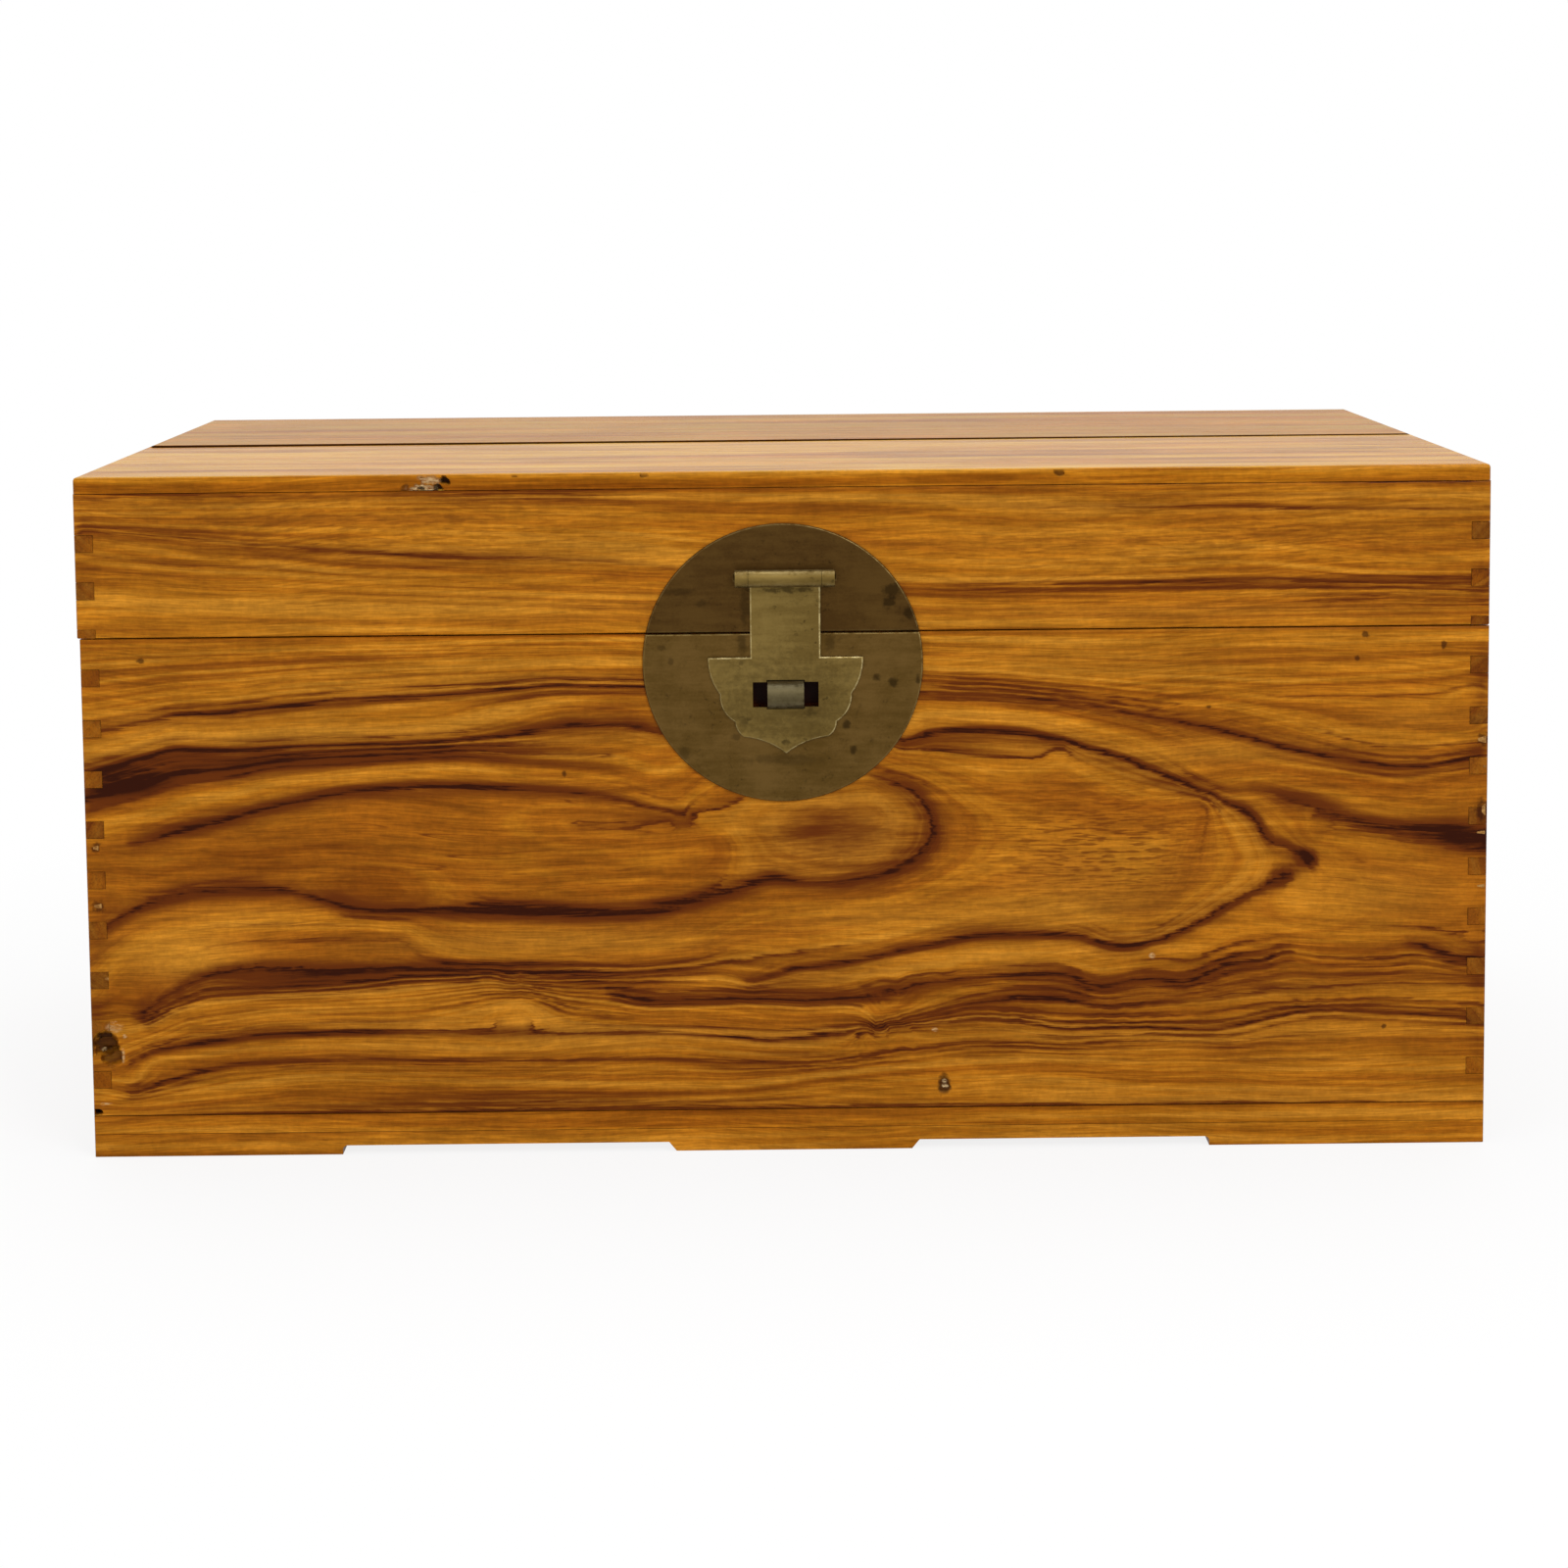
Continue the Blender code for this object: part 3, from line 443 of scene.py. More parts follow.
FRONT_FIGURE = Figure(
    face=FRONT_FACE,
    streaks=(
        Streak("rim", 0.0, ((87, 650, 0), (560, 645, 0), (1050, 639, 0), (1514, 634, 0))),
        Streak("faint right top", 4.0, (
            (1295, 707, 0.4), (1379, 708, 0.5), (1454, 705, 0.5), (1501, 695, 0.4))),
        Streak("thin line right of the plate", 5.0, (
            (940, 692, 0.7), (1019, 695, 0.8), (1098, 703, 0.7), (1157, 711, 0.6), (1197, 716, 0.5))),
        Streak("right wave", 5.0, (
            (1335, 740, 0.4), (1394, 759, 0.6), (1454, 761, 0.7), (1505, 755, 0.7))),
        Streak("long upper line", 6.0, (
            (96, 746, 0.6), (151, 735, 0.7), (180, 727, 0.8), (234, 725, 0.9), (280, 719, 0.9),
            (337, 713, 0.9), (437, 706, 0.8), (509, 701, 0.8), (562, 696, 0.8), (650, 697, 0.8),
            (800, 700, 0.7), (940, 703, 0.8), (1019, 705, 0.8), (1078, 711, 0.8), (1137, 721, 0.7),
            (1197, 733, 0.7), (1256, 745, 0.7), (1295, 757, 0.7), (1355, 770, 0.8), (1414, 780, 0.9),
            (1454, 779, 0.9), (1505, 770, 0.9)), 6.0),
        Streak("left band, upper side", 7.5, (
            (96, 788, 1.0), (151, 772, 1.0), (176, 763, 1.0), (241, 765, 1.0), (294, 761, 1.0),
            (401, 757, 0.9), (470, 753, 0.8), (520, 748, 0.8), (559, 742, 0.9), (580, 739, 1.0),
            (646, 738, 1.0), (680, 746, 0.8)), 9.0),
        Streak("left band, lower side", 8.5, (
            (96, 812, 1.0), (151, 797, 1.0), (187, 786, 1.0), (234, 783, 1.0), (280, 775, 1.0),
            (366, 769, 0.9), (473, 763, 0.8), (544, 766, 0.7), (620, 768, 0.5)), 9.0),
        Streak("brow", 8.0, (
            (920, 755, 0.9), (947, 745, 0.9), (987, 743, 0.9), (1027, 744, 0.9), (1066, 749, 1.0),
            (1098, 759, 1.0), (1137, 770, 1.0), (1177, 786, 1.0), (1208, 798, 1.0), (1240, 814, 1.0),
            (1268, 826, 1.0), (1280, 838, 1.0), (1284, 853, 0.9), (1295, 861, 0.8), (1323, 867, 0.8),
            (1331, 874, 1.0)), 8.0),
        Streak("under the brow", 8.5, (
            (947, 763, 0.8), (987, 767, 0.9), (1030, 771, 0.9), (1058, 770, 0.8), (1080, 762, 0.6))),
        Streak("right tail", 7.5, (
            (1276, 803, 0.3), (1315, 814, 0.6), (1374, 834, 0.8), (1406, 842, 0.9), (1473, 849, 0.8),
            (1515, 858, 0.8)), 8.0),
        Streak("right tail, lower", 7.5, (
            (1335, 852, 0.3), (1360, 848, 0.5), (1414, 852, 0.6), (1515, 868, 0.8))),
        Streak("under the second eye", 8.0, (
            (1331, 878, 1.0), (1307, 893, 1.0), (1276, 909, 0.9), (1248, 925, 0.9), (1216, 944, 1.0),
            (1185, 958, 1.0), (1157, 967, 1.0), (1129, 965, 1.0), (1106, 957, 0.9), (1058, 954, 0.9),
            (1024, 954, 1.0), (991, 956, 1.0), (958, 963, 0.9), (908, 974, 0.9), (859, 985, 0.9),
            (812, 990, 0.8), (766, 1004, 0.5)), 8.0),
        Streak("inside the second eye", 8.5, (
            (1268, 886, 0.2), (1244, 909, 0.3), (1228, 917, 0.3), (1201, 936, 0.3), (1177, 950, 0.25),
            (1130, 952, 0.2))),
        Streak("second eye, arc", 9.0, ((1225, 819, 0.2), (1228, 842, 0.3), (1223, 872, 0.2))),
        Streak("second eye, middle", 9.5, ((1050, 870, 0), (1120, 865, 0), (1180, 860, 0))),
        Streak("over the first eye", 10.0, (
            (142, 860, 0.6), (187, 847, 0.7), (230, 835, 0.8), (280, 822, 1.0), (330, 811, 1.0),
            (366, 806, 1.0), (419, 802, 0.9), (491, 801, 0.8), (580, 806, 0.8), (640, 815, 0.7),
            (672, 824, 0.6), (699, 829, 0.7)), 7.0),
        Streak("between the lines", 10.25, (
            (150, 890, 0), (230, 872, 0), (330, 864, 0), (440, 864, 0), (540, 868, 0), (640, 868, 0),
            (720, 860, 0))),
        Streak("dash", 10.5, (
            (587, 840, 0.6), (619, 841, 0.8), (659, 838, 0.9), (692, 835, 0.9), (719, 827, 0.9),
            (752, 816, 0.8))),
        Streak("round the first eye", 10.5, (
            (106, 950, 0.4), (116, 940, 0.6), (151, 922, 0.8), (198, 910, 0.8), (237, 906, 0.9),
            (266, 906, 0.9), (301, 908, 0.6), (330, 918, 0.5), (362, 927, 1.0), (394, 929, 1.0),
            (509, 929, 1.0), (600, 932, 1.0), (650, 931, 1.0), (703, 921, 1.0), (746, 908, 1.0),
            (786, 894, 0.9), (820, 900, 0.6), (859, 901, 0.8), (885, 896, 0.9), (910, 888, 1.0),
            (935, 873, 1.0), (949, 856, 1.0), (950, 842, 1.0), (944, 824, 1.0), (931, 807, 0.9),
            (912, 797, 0.7), (893, 791, 0.5)), 7.0),
        Streak("first eye, ring", 10.7, (
            (905, 805, 0.2), (922, 818, 0.25), (928, 840, 0.25), (921, 864, 0.2), (900, 880, 0.2))),
        Streak("first eye, middle", 10.9, ((800, 850, 0.2), (835, 845, 0.2), (870, 845, 0.2))),
        Streak("left curl, inner", 9.5, (
            (104, 1000, 0.3), (126, 975, 0.15), (163, 956, 0.1), (223, 945, 0.4), (300, 944, 0.5),
            (378, 944, 0.3))),
        Streak("left curl, outer", 9.0, (
            (100, 1029, 0.4), (126, 1010, 0.25), (163, 985, 0.1), (206, 968, 0.1), (262, 960, 0.4),
            (340, 959, 0.4), (412, 960, 0.3))),
        Streak("lower band, upper side", 8.5, (
            (146, 1036, 0.9), (169, 1018, 0.8), (193, 1005, 0.8), (223, 993, 0.8), (269, 985, 0.8),
            (300, 987, 0.8), (332, 990, 0.9), (428, 990, 1.0), (560, 993, 1.0), (650, 994, 1.0),
            (706, 989, 0.8), (759, 981, 0.6), (812, 974, 0.5), (880, 963, 0.3)), 6.0),
        Streak("lower band, lower side", 8.0, (
            (150, 1040, 0.9), (173, 1026, 0.9), (213, 1011, 0.9), (279, 1010, 1.0), (340, 1007, 1.0),
            (380, 1003, 1.0), (415, 998, 0.9), (480, 997, 0.8)), 8.0),
        Streak("below the band", 7.5, (
            (520, 1004, 0.7), (560, 1005, 0.9), (610, 1005, 0.9), (669, 1004, 0.8), (730, 1004, 0.4))),
        Streak("middle thread", 7.0, (
            (885, 1008, 0.5), (915, 1005, 0.7), (941, 997, 0.8), (966, 996, 0.6))),
        Streak("dark middle", 6.5, (
            (626, 1017, 0.6), (656, 1024, 1.0), (699, 1023, 1.0), (746, 1021, 1.0), (792, 1022, 1.0),
            (825, 1024, 1.0), (875, 1021, 1.0), (912, 1011, 0.9), (958, 1003, 0.8), (991, 1001, 0.7),
            (1018, 998, 0.7), (1066, 996, 1.0), (1093, 998, 1.0), (1106, 1006, 1.0), (1126, 1010, 1.0),
            (1146, 1006, 1.0), (1172, 1001, 1.0), (1206, 1006, 1.0), (1229, 998, 1.0), (1255, 986, 1.0),
            (1292, 981, 0.9), (1312, 973, 0.8)), 5.0),
        Streak("right line", 6.5, (
            (1345, 979, 0.7), (1398, 982, 1.0), (1428, 981, 1.0), (1440, 977, 0.8))),
        Streak("right corner line", 7.0, (
            (1440, 966, 0.6), (1461, 971, 0.9), (1481, 980, 1.0), (1516, 983, 1.0)), 6.0),
        Streak("right upper thread", 7.5, (
            (1400, 947, 0.4), (1448, 948, 0.7), (1497, 952, 0.7), (1515, 954, 0.6))),
        Streak("under the knot", 7.5, (
            (1172, 981, 0.7), (1222, 982, 0.8), (1252, 968, 0.8), (1282, 960, 0.6), (1340, 955, 0.4))),
        Streak("rising band", 5.0, (
            (892, 1052, 0.5), (940, 1040, 0.6), (991, 1027, 0.7), (1040, 1020, 0.8), (1080, 1022, 0.9),
            (1130, 1030, 0.7), (1232, 1022, 0.6), (1300, 1012, 0.6), (1420, 1005, 0.5),
            (1515, 1008, 0.5)), 7.0),
        Streak("left low thread", 5.0, (
            (190, 1048, 0.3), (280, 1034, 0.4), (420, 1030, 0.5), (505, 1016, 0.6), (540, 1016, 0.6),
            (580, 1030, 0.6), (640, 1038, 0.5))),
        Streak("wave above", 4.5, (
            (1000, 1034, 0.6), (1080, 1040, 0.5), (1160, 1042, 0.5), (1232, 1038, 0.6),
            (1298, 1028, 0.6), (1400, 1024, 0.5), (1515, 1030, 0.5))),
        Streak("long lower line", 3.5, (
            (136, 1086, 0.5), (160, 1074, 0.7), (213, 1066, 0.8), (266, 1059, 0.9), (345, 1055, 1.0),
            (461, 1054, 0.9), (560, 1057, 0.8), (693, 1058, 0.9), (746, 1061, 1.0), (789, 1065, 1.0),
            (825, 1062, 1.0), (878, 1056, 0.9), (925, 1050, 0.8), (1000, 1044, 0.8), (1043, 1046, 0.8),
            (1083, 1054, 0.8), (1159, 1052, 0.8), (1239, 1055, 0.9), (1275, 1048, 0.8),
            (1308, 1039, 0.8), (1352, 1034, 0.8), (1431, 1038, 0.7), (1514, 1044, 0.8)), 5.0),
        Streak("soft lower line", 2.5, (
            (136, 1119, 0.7), (163, 1110, 0.7), (206, 1097, 0.6), (246, 1089, 0.5), (345, 1084, 0.5),
            (461, 1087, 0.5), (560, 1087, 0.5), (669, 1085, 0.5), (746, 1090, 0.6), (835, 1089, 0.5),
            (908, 1079, 0.5), (991, 1069, 0.6), (1043, 1069, 0.6), (1090, 1073, 0.6), (1139, 1069, 0.5),
            (1199, 1068, 0.5), (1252, 1071, 0.6), (1298, 1063, 0.4), (1400, 1058, 0.3),
            (1514, 1060, 0.3)), 5.0),
        Streak("lowest line", 1.0, (
            (300, 1108, 0.3), (560, 1106, 0.4), (746, 1110, 0.3), (892, 1094, 0.4), (991, 1085, 0.5),
            (1050, 1084, 0.4), (1166, 1088, 0.4), (1298, 1088, 0.4), (1514, 1088, 0.3))),
        Streak("bottom", -1.0, (
            (95, 1144, 0.1), (213, 1142, 0.6), (365, 1139, 0.8), (560, 1138, 0.9), (725, 1137, 0.8),
            (1000, 1135, 0.6), (1300, 1134, 0.6), (1516, 1133, 0.3)), 5.0),
    ),
    pale=(
        Patch(480, 692, 170, 7, 0.8), Patch(150, 730, 55, 6, 0.6), Patch(560, 962, 160, 13, 0.9),
        Patch(190, 975, 62, 24, 1.5), Patch(250, 935, 80, 12, 0.6), Patch(1110, 885, 110, 38, 0.5),
        Patch(1080, 928, 110, 18, 0.7), Patch(900, 938, 90, 16, 0.7), Patch(1230, 765, 120, 13, 0.7),
        Patch(1390, 915, 80, 28, 0.6), Patch(1040, 986, 45, 8, 0.8), Patch(1150, 1062, 170, 5, 0.7),
        Patch(1350, 1056, 90, 10, 0.6), Patch(300, 1040, 90, 8, 0.3), Patch(450, 1071, 140, 7, 0.5),
        Patch(1050, 670, 150, 14, 0.4), Patch(1440, 730, 60, 10, 0.4), Patch(300, 790, 120, 8, 0.4),
    ),
    fleck=(
        Patch(1120, 862, 120, 58, 1.6), Patch(845, 855, 72, 34, 0.9), Patch(280, 670, 160, 16, 0.4),
    ),
    thread=(
        Patch(440, 862, 190, 36, 1.0), Patch(600, 822, 70, 14, 1.0), Patch(1400, 890, 70, 22, 0.7),
        Patch(620, 905, 100, 18, 0.6),
    ),
    brown=(
        Patch(125, 792, 48, 16, 1.7), Patch(225, 773, 80, 9, 0.8), Patch(360, 763, 110, 7, 0.5),
        # The patch at 802, 705 is painted shade: its amount of 6 blackens the wood seen through the hasp's
        # window.
        Patch(858, 850, 92, 44, 1.85), Patch(802, 705, 40, 18, 6.0), Patch(1509, 690, 9, 60, 0.5),
        Patch(1509, 1010, 9, 120, 0.4), Patch(96, 1040, 12, 90, 0.5), Patch(195, 838, 60, 13, 0.5),
        Patch(342, 914, 28, 9, 0.6), Patch(300, 999, 90, 8, 0.8), Patch(440, 995, 110, 6, 0.6),
        Patch(488, 1033, 24, 7, 0.5), Patch(561, 1034, 28, 7, 0.6), Patch(640, 1015, 60, 8, 0.5),
        Patch(800, 1008, 80, 13, 0.65), Patch(1000, 757, 75, 9, 0.6), Patch(1325, 812, 52, 10, 0.65),
        Patch(1488, 850, 46, 17, 0.85), Patch(1331, 875, 9, 8, 1.6), Patch(1307, 893, 13, 8, 0.9),
        Patch(1090, 1014, 36, 7, 0.5), Patch(1130, 972, 42, 8, 0.5), Patch(520, 1127, 190, 9, 0.7),
        Patch(1330, 1119, 160, 9, 0.5), Patch(1292, 1092, 60, 6, 0.35), Patch(1300, 1003, 90, 11, 0.35),
        Patch(110, 930, 22, 60, 0.35), Patch(600, 718, 120, 8, 0.35), Patch(104, 700, 16, 40, 0.3),
        Patch(1505, 720, 12, 60, 0.35), Patch(1150, 800, 90, 14, 0.3), Patch(330, 674, 270, 22, 0.45),
        Patch(1230, 670, 290, 22, 0.40), Patch(740, 880, 60, 16, 0.3), Patch(150, 1120, 60, 14, 0.2),
        Patch(900, 1018, 60, 10, 0.4),
    ),
)

LID_FIGURE = Figure(
    face=PhotoFace("lid_front_rail", (83, 504), (1512, 489), (87, 650), (1514, 634)),
    streaks=(
        Streak("top", 0.0, (
            (83, 504, 0.5), (560, 499, 0.4), (1050, 494, 0.5), (1200, 492, 0.9), (1512, 489, 0.9))),
        Streak("soft upper band", 1.0, (
            (90, 516, 0.2), (280, 512, 0.2), (480, 509, 0.3), (615, 509, 0.3), (960, 512, 0.2),
            (1067, 516, 0.4), (1250, 516, 0.5), (1460, 518, 0.4), (1510, 517, 0.3)), 6.0),
        Streak("long soft band", 4.0, (
            (95, 540, 0.4), (161, 546, 0.5), (282, 556, 0.6), (385, 563, 0.6), (523, 568, 0.6),
            (615, 572, 0.5), (700, 578, 0.3), (900, 592, 0.3), (960, 594, 0.4), (1139, 592, 0.5),
            (1281, 588, 0.5), (1389, 592, 0.5), (1510, 594, 0.6)), 7.0),
        Streak("thin line below", 5.0, (
            (100, 566, 0.3), (116, 568, 0.4), (206, 577, 0.5), (282, 579, 0.5), (347, 585, 0.4),
            (480, 590, 0.3), (615, 594, 0.2), (960, 606, 0.2), (1240, 606, 0.2), (1346, 604, 0.5),
            (1424, 603, 0.5), (1510, 606, 0.3))),
        Streak("lower line", 6.5, (
            (95, 602, 0.2), (250, 606, 0.3), (400, 612, 0.3), (615, 618, 0.3), (960, 622, 0.2),
            (1250, 622, 0.2), (1510, 618, 0.2))),
        Streak("seam", 8.0, ((87, 650, 0), (560, 645, 0), (1050, 639, 0), (1514, 634, 0))),
    ),
    pale=(
        Patch(480, 618, 250, 14, 0.7), Patch(1180, 622, 240, 8, 0.6), Patch(1100, 550, 220, 14, 0.4),
        Patch(400, 530, 200, 10, 0.3),
    ),
    fleck=(
        Patch(350, 540, 330, 50, 0.7), Patch(1250, 550, 330, 50, 0.7),
    ),
    thread=(
        Patch(400, 600, 300, 30, 0.4), Patch(1200, 560, 300, 40, 0.4),
    ),
    brown=(
        Patch(440, 567, 200, 9, 0.5), Patch(1250, 591, 220, 6, 0.55), Patch(1250, 514, 200, 8, 0.5),
        Patch(500, 508, 130, 6, 0.45), Patch(96, 560, 14, 50, 0.4), Patch(1505, 570, 12, 50, 0.5),
    ),
)

PLANK_FIGURE = Figure(
    streaks=(
        Streak("upper edge", 0.0, ((0, 0, 0), (300, 4, 0.1), (600, 2, 0.1), (920, 0, 0))),
        Streak("first line", 3.0, (
            (0, 44, 0.5), (180, 38, 0.7), (380, 46, 0.5), (620, 40, 0.6), (920, 34, 0.5))),
        Streak("second line", 5.0, (
            (0, 78, 0.6), (160, 70, 0.8), (340, 82, 0.9), (520, 90, 0.7), (760, 70, 0.6),
            (920, 62, 0.6)), 7.0),
        Streak("tongue", 7.0, (
            (0, 120, 0.5), (160, 112, 0.8), (320, 118, 1.0), (470, 140, 1.0), (560, 164, 1.0),
            (480, 190, 1.0), (330, 204, 0.8), (160, 214, 0.7), (0, 208, 0.5)), 8.0),
        Streak("inner tongue", 8.0, (
            (60, 150, 0.4), (200, 146, 0.6), (330, 156, 0.7), (390, 166, 0.8), (320, 178, 0.6),
            (190, 184, 0.5), (70, 182, 0.3))),
        Streak("far line", 6.0, ((640, 150, 0.7), (740, 140, 0.8), (920, 128, 0.7))),
        Streak("third line", 5.0, (
            (0, 240, 0.6), (220, 236, 0.8), (460, 230, 0.8), (700, 214, 0.9), (920, 206, 0.7)), 7.0),
        Streak("fourth line", 3.0, ((0, 276, 0.5), (300, 270, 0.7), (560, 268, 0.6), (920, 256, 0.7))),
        Streak("lower edge", 0.5, ((0, 318, 0.3), (400, 314, 0.5), (920, 318, 0.3))),
    ),
    pale=(
        Patch(700, 100, 160, 16, 0.6), Patch(250, 250, 150, 10, 0.5), Patch(640, 190, 120, 14, 0.5),
    ),
    fleck=(
        Patch(260, 166, 120, 20, 0.7), Patch(700, 60, 200, 40, 0.4),
    ),
    thread=(
        Patch(640, 110, 200, 30, 0.7), Patch(240, 260, 200, 30, 0.5),
    ),
    brown=(
        Patch(470, 160, 70, 24, 0.4), Patch(120, 90, 90, 12, 0.4), Patch(780, 226, 120, 10, 0.4),
    ),
)

STRAIGHT_FIGURE = Figure(
    streaks=(
        Streak("near edge", 0.0, ((0, 0, 0), (920, 0, 0))),
        Streak("first line", 2.0, ((0, 40, 0.3), (300, 44, 0.4), (620, 38, 0.3), (920, 42, 0.3))),
        Streak("second line", 4.5, ((0, 95, 0.4), (300, 90, 0.2), (620, 98, 0.4), (920, 92, 0.3))),
        Streak("third line", 7.0, ((0, 150, 0.3), (400, 156, 0.4), (920, 148, 0.3))),
        Streak("fourth line", 9.5, ((0, 205, 0.2), (300, 210, 0.4), (620, 200, 0.3), (920, 208, 0.3))),
        Streak("far edge", 12.0, ((0, 260, 0), (920, 260, 0))),
    ),
    pale=(
        Patch(250, 70, 200, 30, 0.4), Patch(700, 180, 200, 30, 0.4),
    ),
    fleck=(
        Patch(460, 130, 500, 130, 0.25),
    ),
)


@dataclass(frozen=True)
class Spot:
    """A dark mark on the front: its pixel in the photograph, its half sizes in pixels and its depth of tone.

    It fades out between its inner and outer edge, in half sizes, and reaches so far behind the front.
    """

    column: float
    row: float
    half_width: float
    half_height: float
    amount: float = 0.7
    reach: float = 0.008
    inner: float = 0.45
    outer: float = 1.25

    def cover(self, tree: Tree, place: Socket, ragged: Socket) -> Socket:
        """How far the mark covers the surface, from 0 to its depth of tone."""
        x, z = FRONT_FACE.in_frame(self.column, self.row)
        scale = FRONT_FACE.scale() * MM
        front = box_of(FRONT_FACE.node)[0][1]
        offset = tree.vector("SUBTRACT", place, (x, front, z)).outputs[0]
        waves = (1.0 / (self.half_width * scale), 1.0 / self.reach, 1.0 / (self.half_height * scale))
        far = tree.vector("LENGTH", tree.stretch(offset, waves)).outputs["Value"]
        far = tree.plus(far, tree.math("MULTIPLY_ADD", ragged, 2.0, -1.0))
        return tree.steps(far, self.outer, self.inner, 0.0, self.amount)


@dataclass(frozen=True)
class Grain:
    """Values across a board's surface that the parts of its finish share."""

    place: Socket
    lay: Socket
    fibre: Socket
    pores: Socket
    band: Socket
    streaky: Socket


@dataclass(frozen=True)
class CamphorWood:
    """Thinly varnished camphor wood: amber ground, dark growth lines, fine pores along the board.

    Widths and sways of the growth lines are in millimetres, bends in metres and waves to a metre, along
    the grain first where they follow it. Tones run from 0 to 1.
    """

    name: str
    grain: Axis
    pale: Colour = (0.45, 0.180, 0.014, 1.0)
    gold: Colour = (0.37, 0.130, 0.006, 1.0)
    amber: Colour = (0.29, 0.090, 0.004, 1.0)
    tan: Colour = (0.20, 0.053, 0.002, 1.0)
    brown: Colour = (0.105, 0.022, 0.002, 1.0)
    umber: Colour = (0.020, 0.003, 0.001, 1.0)
    end_grain: Colour = (0.060, 0.013, 0.002, 1.0)
    raw: Colour = (0.60, 0.43, 0.22, 1.0)
    black: Colour = (0.016, 0.004, 0.002, 1.0)
    # Pale colour over faces that look up: a painted sheen of reflected light.
    painted_sheen: Colour | None = None
    spots: tuple[Spot, ...] = ()
    roughness: float = 0.34
    gloss: float = 0.04
    wander: float = 0.20
    level_bend: float = 0.0012
    wave_bend: float = 0.03
    contour_share: float = 0.78
    lines_per_level: float = 2.0
    sway: float = 4.0
    feather: float = 11.0
    core_width: float = 1.9
    core_tone: float = 0.61
    soft_tone: float = 0.34
    shade_tone: float = 0.10
    faint_tone: float = 0.24
    pore_tone: float = 0.26
    end_tone: float = 0.70
    wander_waves: Triple = (9.0, 9.0, 50.0)
    bend_waves: Triple = (4.0, 4.0, 9.0)
    fibre_waves: Triple = (40.0, 800.0, 800.0)
    pore_waves: Triple = (70.0, 1300.0, 1300.0)
    streaky_waves: Triple = (10.0, 170.0, 170.0)
    contour_waves: Triple = (2.2, 1.5, 2.2)
    sway_waves: Triple = (14.0, 14.0, 50.0)
    feather_waves: Triple = (16.0, 420.0, 420.0)
    break_waves: Triple = (8.0, 8.0, 24.0)
    cloud_waves: Triple = (9.0, 9.0, 26.0)
    mottle_waves: Triple = (260.0, 260.0, 200.0)
    dash_waves: Triple = (80.0, 560.0, 560.0)
    strand_waves: Triple = (6.0, 130.0, 130.0)
    gap_waves: Triple = (14.0, 90.0, 90.0)
    worn_waves: Triple = (20.0, 20.0, 31.0)
    grit_waves: Triple = (900.0, 900.0, 420.0)
    sheet_waves: Triple = (3.0, 45.0, 45.0)
    ragged_waves: Triple = (330.0, 330.0, 330.0)
    splinter_waves: Triple = (260.0, 900.0, 900.0)

    def values(self, tree: Tree) -> Grain:
        """Set up the shared values, with the fibres bent along the growth levels."""
        place = tree.object_place()
        parts = tree.split(place)
        along, side, up = parts[self.grain.value], parts[1 - self.grain.value], parts[2]
        wander = tree.noise(place, self.wander_waves, 3.0, 0.6)
        wander = tree.math("MULTIPLY_ADD", wander, self.wander, -self.wander / 2)
        level = tree.plus(tree.attribute("ring"), wander)
        wave = tree.noise(place, self.bend_waves, 1.0)
        bent = tree.math("MULTIPLY_ADD", level, self.level_bend, up)
        bent = tree.math("MULTIPLY_ADD", wave, self.wave_bend, bent)
        lay = tree.combine(along, bent, side)
        fibre = tree.noise(lay, self.fibre_waves, 5.0, 0.68)
        pores = tree.noise(lay, self.pore_waves, 1.0)
        streaky = tree.noise(lay, self.streaky_waves, 4.0, 0.65)
        contour = tree.noise(tree.combine(along, level, side), self.contour_waves, 6.0, 0.62)
        streaks = tree.times(streaky, 1.0 - self.contour_share)
        band = tree.math("MULTIPLY_ADD", contour, self.contour_share, streaks)
        return Grain(place, lay, fibre, pores, band, streaky)

    def lines(self, tree: Tree, grain: Grain) -> Socket:
        """How dark the growth lines make the surface: a thin core, brown on its soft side."""
        cycle = tree.math("MULTIPLY_ADD", tree.attribute("ring"), self.lines_per_level, 0.5)
        turn = tree.math("SUBTRACT", tree.math("FRACT", cycle), 0.5)
        offset = tree.math("DIVIDE", turn, tree.times(tree.attribute("slope"), self.lines_per_level))
        sway = tree.noise(grain.place, self.sway_waves, 3.0, 0.6)
        feather = tree.noise(grain.lay, self.feather_waves, 5.0, 0.70)
        wobble = tree.math("MULTIPLY_ADD", feather, self.feather, -(self.sway + self.feather) / 2)
        wobble = tree.math("MULTIPLY_ADD", sway, self.sway, wobble)
        offset = tree.plus(offset, wobble)
        core = tree.steps(tree.math("ABSOLUTE", offset), self.core_width, 0.1, 0.0, self.core_tone)
        away = tree.math("MAXIMUM", tree.times(offset, -0.1), tree.times(turn, -2.0))
        soft = tree.times(tree.steps(away, 1.0, 0.0, 0.0, self.soft_tone), tree.steps(offset, 1.2, -0.6))
        breaks = tree.noise(grain.place, self.break_waves, 2.0)
        core = tree.times(core, tree.steps(breaks, 0.36, 0.60, 0.35, 1.12))
        core = tree.times(core, tree.steps(grain.fibre, 0.34, 0.64, 1.20, 0.50))
        soft = tree.times(soft, tree.steps(grain.fibre, 0.34, 0.64, 1.30, 0.60))
        streak = tree.times(tree.attribute("streak"), core)
        shade = tree.times(tree.attribute("shade"), tree.plus(soft, self.shade_tone))
        bleed = tree.times(tree.attribute("bleed"), tree.steps(grain.band, 0.40, 0.59, 0.24, 0.56))
        faint = tree.times(core, tree.steps(grain.band, 0.47, 0.59, 0.0, self.faint_tone))
        return tree.plus(tree.plus(streak, shade), tree.plus(bleed, faint), clamp=True)

